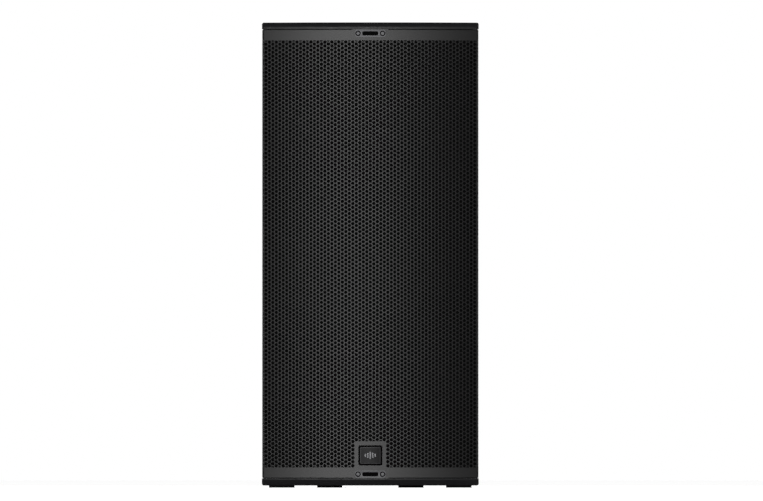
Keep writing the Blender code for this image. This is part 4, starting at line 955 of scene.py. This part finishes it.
def ripple(inner, outer, depth, height, waves, thickness, steps=12):
    """A closed section of a rippled annulus: depth + height cos, with its other side a thickness behind."""
    radius = np.linspace(inner, outer, waves * steps + 1)
    wave = depth - height / 2 * (1 - np.cos((radius - inner) / (outer - inner) * waves * math.tau))
    front = np.column_stack([radius, wave])
    return np.concatenate([front, front[::-1] + (0, thickness)])


def bending(obj, body, fixed, moving):
    """Bakes the piece's place into its mesh; it follows neither the cabinet nor the cone, and the radii, in mm, and the
    body are not used.
    """
    points = np.empty(len(obj.data.vertices) * 3, np.float32)
    obj.data.vertices.foreach_get("co", points)
    points = points.reshape(-1, 3)
    fixed, moving = fixed * MM, moving * MM
    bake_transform(obj)


def make_woofer(label):
    """A 15-inch woofer: motor, cone with dust cap, coil, rippled spider and half-roll surround, turned on one axis."""
    place = along_y(BAFFLE_Y, WOOFER_Z[label])
    body = f"{label}_cone"
    cap = [(r, 44 + 4.5 * (r / 30) ** 2) for r in np.linspace(0, 30, 8)]
    diaphragm = [*cap, (55, 63.5), (55.3, 63.3), (90, 40), (125, 17), (151.5, 0.6), (151.8, 1.8), (125, 18.6),
                 (90, 42), (57, 67.8), (50, 70), (28, 50.2), (0, 46)]
    roll = ripple(152.5, 171, 0.5, 10, 2, 1.1)
    lip = [(186, -6.8), (186, -5.7)]
    parts = {
        "magnet": ("motor", [(14, 112.5), (49.5, 112.5), (49.5, 148), (54.5, 148), (54.5, 112.3), (84.5, 112.3),
                             (85, 112.8), (85, 121.8), (96.5, 122), (98, 123.5), (98, 145.5), (96.5, 147), (81, 147),
                             (80, 147.5), (79.5, 157.2), (78.5, 158), (14, 158)], "magnet", "cabinet"),
        "cone": ("diaphragm", diaphragm, "cone", body),
        "voice_coil": ("coil", [(51, 70.5), (51.8, 70.5), (51.8, 104), (52, 104.5), (52, 133),
                                (51.8, 134), (51, 134)], "former", body),
        "surround": ("roll", [*roll[: len(roll) // 2], *lip, *roll[len(roll) // 2 :]], "surround", None),
        "spider": ("suspension", ripple(52.3, 106, 86.6, 3.5, 4, 1), "spider", None),
    }
    bends = {"surround": (171, 152.5), "spider": (106, 52.3)}  # the fixed and the moving radius
    for node, (name, profile, finish_key, carrier) in parts.items():
        made = turned(f"{label}_woofer_{name}", profile, place, finish_key, steps=96, loop=node != "cone",
                      node=f"{label}_woofer_{node}", body=carrier, sharp=40)
        if node in bends:
            bending(made, body, *bends[node])
    for number in range(8):
        t = (number + 0.5) / 8 * math.tau
        seat = in_front(0.1868 * math.cos(t), 44.8, WOOFER_Z[label] + 0.1868 * math.sin(t))
        make_screw(f"{label}_woofer_screw_{number}", seat, 7.0, 4.4, 18, 3.0, "cast")


def make_terminals():
    """Where a cable ends: a tag strip with two tinned lugs on each basket, and a pair of posts on the horn driver."""
    strip = [rounded_rectangle(10, 34, 1.5), circle(3.5, steps=32)]
    for label, sign in (("lower", -1), ("upper", 1)):
        x, z = sign * 0.106, WOOFER_Z[label]
        plate(f"{label}_woofer_tag_strip", strip, 1.4, 0.2, facing(x, BAFFLE_Y + 92.2 * MM, z, "rear"), "former")
        for number, lift in enumerate((-11.5 * MM, 11.5 * MM)):
            seat = facing(x, BAFFLE_Y + 93.6 * MM, z + lift, "rear")
            lug = rounded_rectangle(0.8, 4.8, 0.2)
            plate(f"{label}_woofer_lug_{number}", [lug], 9, 0.1, seat, "nickel")
    post = softened([(0, 0), (3.0, 0), (3.0, 2.5), (4.2, 2.5), (4.2, 8.0), (0, 8.0)], 0.5)
    for side, sign in SIDES.items():
        place = along_y(0.0224, HORN_Z) @ Matrix.Translation((sign * 0.020, 0, 0))
        turned(f"driver_post_{side}", post, place, "cable", steps=24)


def make_horn():
    """The horn: superellipses |x/a|^n + |z/b|^n = 1 whose a, b and n grow from the throat to the mouth."""
    throat_radius, mouth, throat, front = 0.018, (0.112, 0.107), -0.0600, BAFFLE_Y - 0.0053
    turn = (np.arange(72) + 0.5) / 72 * math.tau

    def section(share, y, grow=0.0):
        flare = share**1.6
        half_x, half_z = (throat_radius + (m - throat_radius) * flare + grow for m in mouth)
        power = 2 + 6 * share
        c, s = np.cos(turn), np.sin(turn)
        radius = (np.abs(c / half_x) ** power + np.abs(s / half_z) ** power) ** (-1 / power)
        return np.column_stack([radius * c, np.full(72, y), HORN_Z + radius * s])

    wall = 0.0035
    inner = [section(s, throat + (front - throat) * s) for s in np.linspace(1, 0, 20)]
    outer = [section(s, throat + (front - throat) * s, wall) for s in np.linspace(0.12, 0.85, 12)]
    bolting = [section(0, throat, 0.0295), section(0, throat - 0.0005, 0.030), section(0, throat - 0.006, 0.030),
               section(0, throat - 0.0065, 0.006)]
    rim = [section(1, BAFFLE_Y - 0.0003, wall - 0.0005), section(1, BAFFLE_Y - 0.0003, 0.014),
           section(1, front + 0.001, 0.014), section(1, front + 0.0003, 0.0137), section(1, front, 0.013),
           section(1, front, 0.0012), section(1, front + 0.0004, 0.0003)]
    lofted("waveguide", [*inner, *bolting, *outer, *rim], "abs", loop=True, node="horn")

    place = along_y(-0.0597, HORN_Z)
    motor = [(18, 0), (58, 0), (60, 0.4), (74.2, 5.6), (75, 6.5), (75, 49), (74, 50), (41.5, 50), (41.5, 36),
             (38.5, 36), (38.5, 50), (36.2, 50), (36.2, 30), (22, 30)]
    plug = [(0, 4), (5, 12), (10, 22), (14.5, 30.3), (35.5, 30.3), (35.5, 49), (30, 52), (20, 54.5), (10, 56),
            (0, 56.5)]
    arc = np.linspace(0, 37, 12)
    dome = [*np.column_stack([arc, 60 - 8 * (arc / 37) ** 2]), (39.6, 51.7), (39.6, 40),
            (40.4, 40), (40.4, 51.2), (52, 51.2), (52, 52.2), (38.5, 53),
            *np.column_stack([arc, 61.2 - 8 * (arc / 37) ** 2])[::-1]]
    cover = softened([(0, 78), (54, 78), (58.5, 74), (58.5, 50.3), (64, 50.3), (64, 76), (58, 82), (0, 82)], 2)
    rows = {"driver_magnet": ("driver_motor", motor, "magnet", "cabinet"),
            "phase_plug": ("driver_phase_plug", plug, "abs", "cabinet"),
            "driver_diaphragm": ("driver_titanium_dome", dome, "titanium", "driver_dome"),
            "driver_cover": ("driver_rear_cover", cover, "abs", "cabinet")}
    for node, (name, profile, finish_key, body) in rows.items():
        turned(name, profile, place, finish_key, steps=72, loop=node == "driver_magnet", node=node, body=body)


def make_ports():
    """Flared reflex tubes: upright stadiums whose half width follows the flare, carried along the depth."""
    half_x, half_z, steps = 0.028, 0.095, 16
    turn = np.concatenate([np.linspace(0, math.pi, steps + 1), np.linspace(math.pi, math.tau, steps + 1)])
    lift = np.where(np.arange(len(turn)) <= steps, half_z - half_x, half_x - half_z)
    back, front = BAFFLE_Y + 0.108, BAFFLE_Y - 0.0043
    path = [(0.0040, front), (0.0026, front + 0.0014), (0.0012, front + 0.0040), (0.0004, front + 0.0080),
            (0.0, front + 0.0120), (0.0, back - 0.0080), (0.0010, back - 0.0035), (0.0030, back), (0.0055, back),
            (0.0030, back - 0.010), (0.0030, BAFFLE_Y - 0.0003), (0.0080, BAFFLE_Y - 0.0003), (0.0080, front + 0.0006),
            (0.0074, front)]
    for side, sign in SIDES.items():
        rings = [np.column_stack([sign * 0.168 + (half_x + g) * np.cos(turn), np.full(len(turn), y),
                                  HORN_Z + lift + (half_x + g) * np.sin(turn)]) for g, y in path]
        lofted(f"reflex_tube_{side}", rings, "abs", loop=True, node=f"port_tube_{side}")


# ---------------------------------------------------------------- studio


def area_light(name, azimuth, elevation, distance, size, power, aim=(0, 0, 0.56)):
    """A soft box in a direction seen from the object: azimuth 0 is in front, and positive turns to the right."""
    light = bpy.data.lights.new(name, "AREA")
    light.shape = "RECTANGLE"
    light.size, light.size_y = size
    light.energy = power
    lamp = bpy.data.objects.new(name, light)
    a, e = math.radians(azimuth), math.radians(elevation)
    offset = Vector((math.sin(a) * math.cos(e), -math.cos(a) * math.cos(e), math.sin(e))) * distance
    lamp.location = Vector(aim) + offset
    lamp.rotation_euler = offset.to_track_quat("Z", "Y").to_euler()
    lamp.visible_camera = False
    bpy.context.scene.collection.objects.link(lamp)


def make_studio():
    """A white room whose reflections show only a dim rear ceiling, a key light, and lights for the sides and rear."""
    scene = bpy.context.scene
    scene.view_settings.view_transform = "Standard"
    world = bpy.data.worlds.new("studio")
    world.use_nodes = True
    tree = world.node_tree
    tree.nodes["Background"].inputs["Color"].default_value = (1, 1, 1, 1)
    way = add(tree, "SeparateXYZ", _0=add(tree, "TexCoord").outputs["Generated"])
    behind = spread(tree, way.outputs[1], 0.05, 0.4, 0.0, 0.35)
    above = spread(tree, way.outputs[2], 0.1, 0.5)
    ceiling = add(tree, "Math", {"operation": "MULTIPLY"}, _0=behind, _1=above).outputs[0]
    glossy = add(tree, "LightPath").outputs["Is Glossy Ray"]
    strength = add(tree, "Mix", {"data_type": "FLOAT"}, _0=glossy, _2=1.0, _3=ceiling).outputs[0]
    tree.links.new(strength, tree.nodes["Background"].inputs["Strength"])
    scene.world = world
    lights = {  # azimuth and elevation in degrees, distance and size in m, power in W
        "key": (-4.9, 2.0, 24.0, (7.5, 3.6), 2130),
        "edge": (62, 2, 6.0, (0.7, 2.4), 10),
        "left": (-140, 6, 4.5, (2.4, 2.4), 50),
        "right": (119, 6, 4.5, (2.4, 2.4), 44),
        "rear": (180, 8, 4.5, (3.2, 2.0), 110),
    }
    for name, row in lights.items():
        area_light(name, *row)

    ground = bpy.data.meshes.new("floor")
    reach = 60.0
    ground.from_pydata([(-reach, -reach, 0), (reach, -reach, 0), (reach, reach, 0), (-reach, reach, 0)], [],
                       [(0, 1, 2, 3)])
    floor = bpy.data.objects.new("floor", ground)
    scene.collection.objects.link(floor)
    ground.materials.append(finish("pale_floor", "#FCFCFC", 0.9, Specular_IOR_Level=0.0)[0])
    floor.visible_glossy = False  # dark surroundings for reflections, as black flags round a studio table give

    camera = bpy.data.cameras.new("camera")
    camera.lens = 900
    camera.sensor_width = 36
    camera.clip_start, camera.clip_end = 1.0, 400.0
    viewer = bpy.data.objects.new("camera", camera)
    scene.collection.objects.link(viewer)
    span = 1.8442  # width of the view at the cabinet's front corners
    distance = camera.lens / camera.sensor_width * span
    target = Vector((0.0270, CORNER_Y, 0.5730))
    viewer.location = (0, CORNER_Y - distance, 0.03)
    viewer.rotation_euler = (target - viewer.location).to_track_quat("-Z", "Y").to_euler()
    scene.camera = viewer


def dress_solids():
    """The finishes of the pieces that are shown as they were built."""
    kept = {
        "paint": ("left_side_panel", "right_side_panel", "rear_panel"),
        "baffle": ("front_baffle",),
        "plywood": ("shelf_brace",),
        "cast": ("lower_woofer_basket", "upper_woofer_basket"),
        "zinc": ("amp_chassis",),
        "board": ("amp_board",),
        "cable": ("lower_woofer_cable", "upper_woofer_cable", "horn_driver_cable"),
    }
    for name, nodes in kept.items():
        for node in nodes:
            for slot in bpy.data.objects[node].material_slots:
                slot.link = "OBJECT"
                slot.material = FINISHES[name]


def main():
    make_studio()
    FINISHES.update(make_finishes())
    make_panel("coated_top_panel", "top_panel", CEILING - JOINT, HEIGHT, 1)
    make_panel("coated_bottom_panel", "bottom_panel", FOOT_HEIGHT - 1 * MM, FLOOR_TOP + JOINT, -1)
    for make in (make_grille, make_side_gaskets, make_cloth, make_clamps, make_badge, make_feet, make_handles,
                 make_fly_points, make_amplifier_plate, make_controls, make_sockets, make_power_inlet):
        make()
    for label in WOOFER_Z:
        make_woofer(label)
    for make in (make_horn, make_terminals, make_ports, dress_solids):
        make()


main()
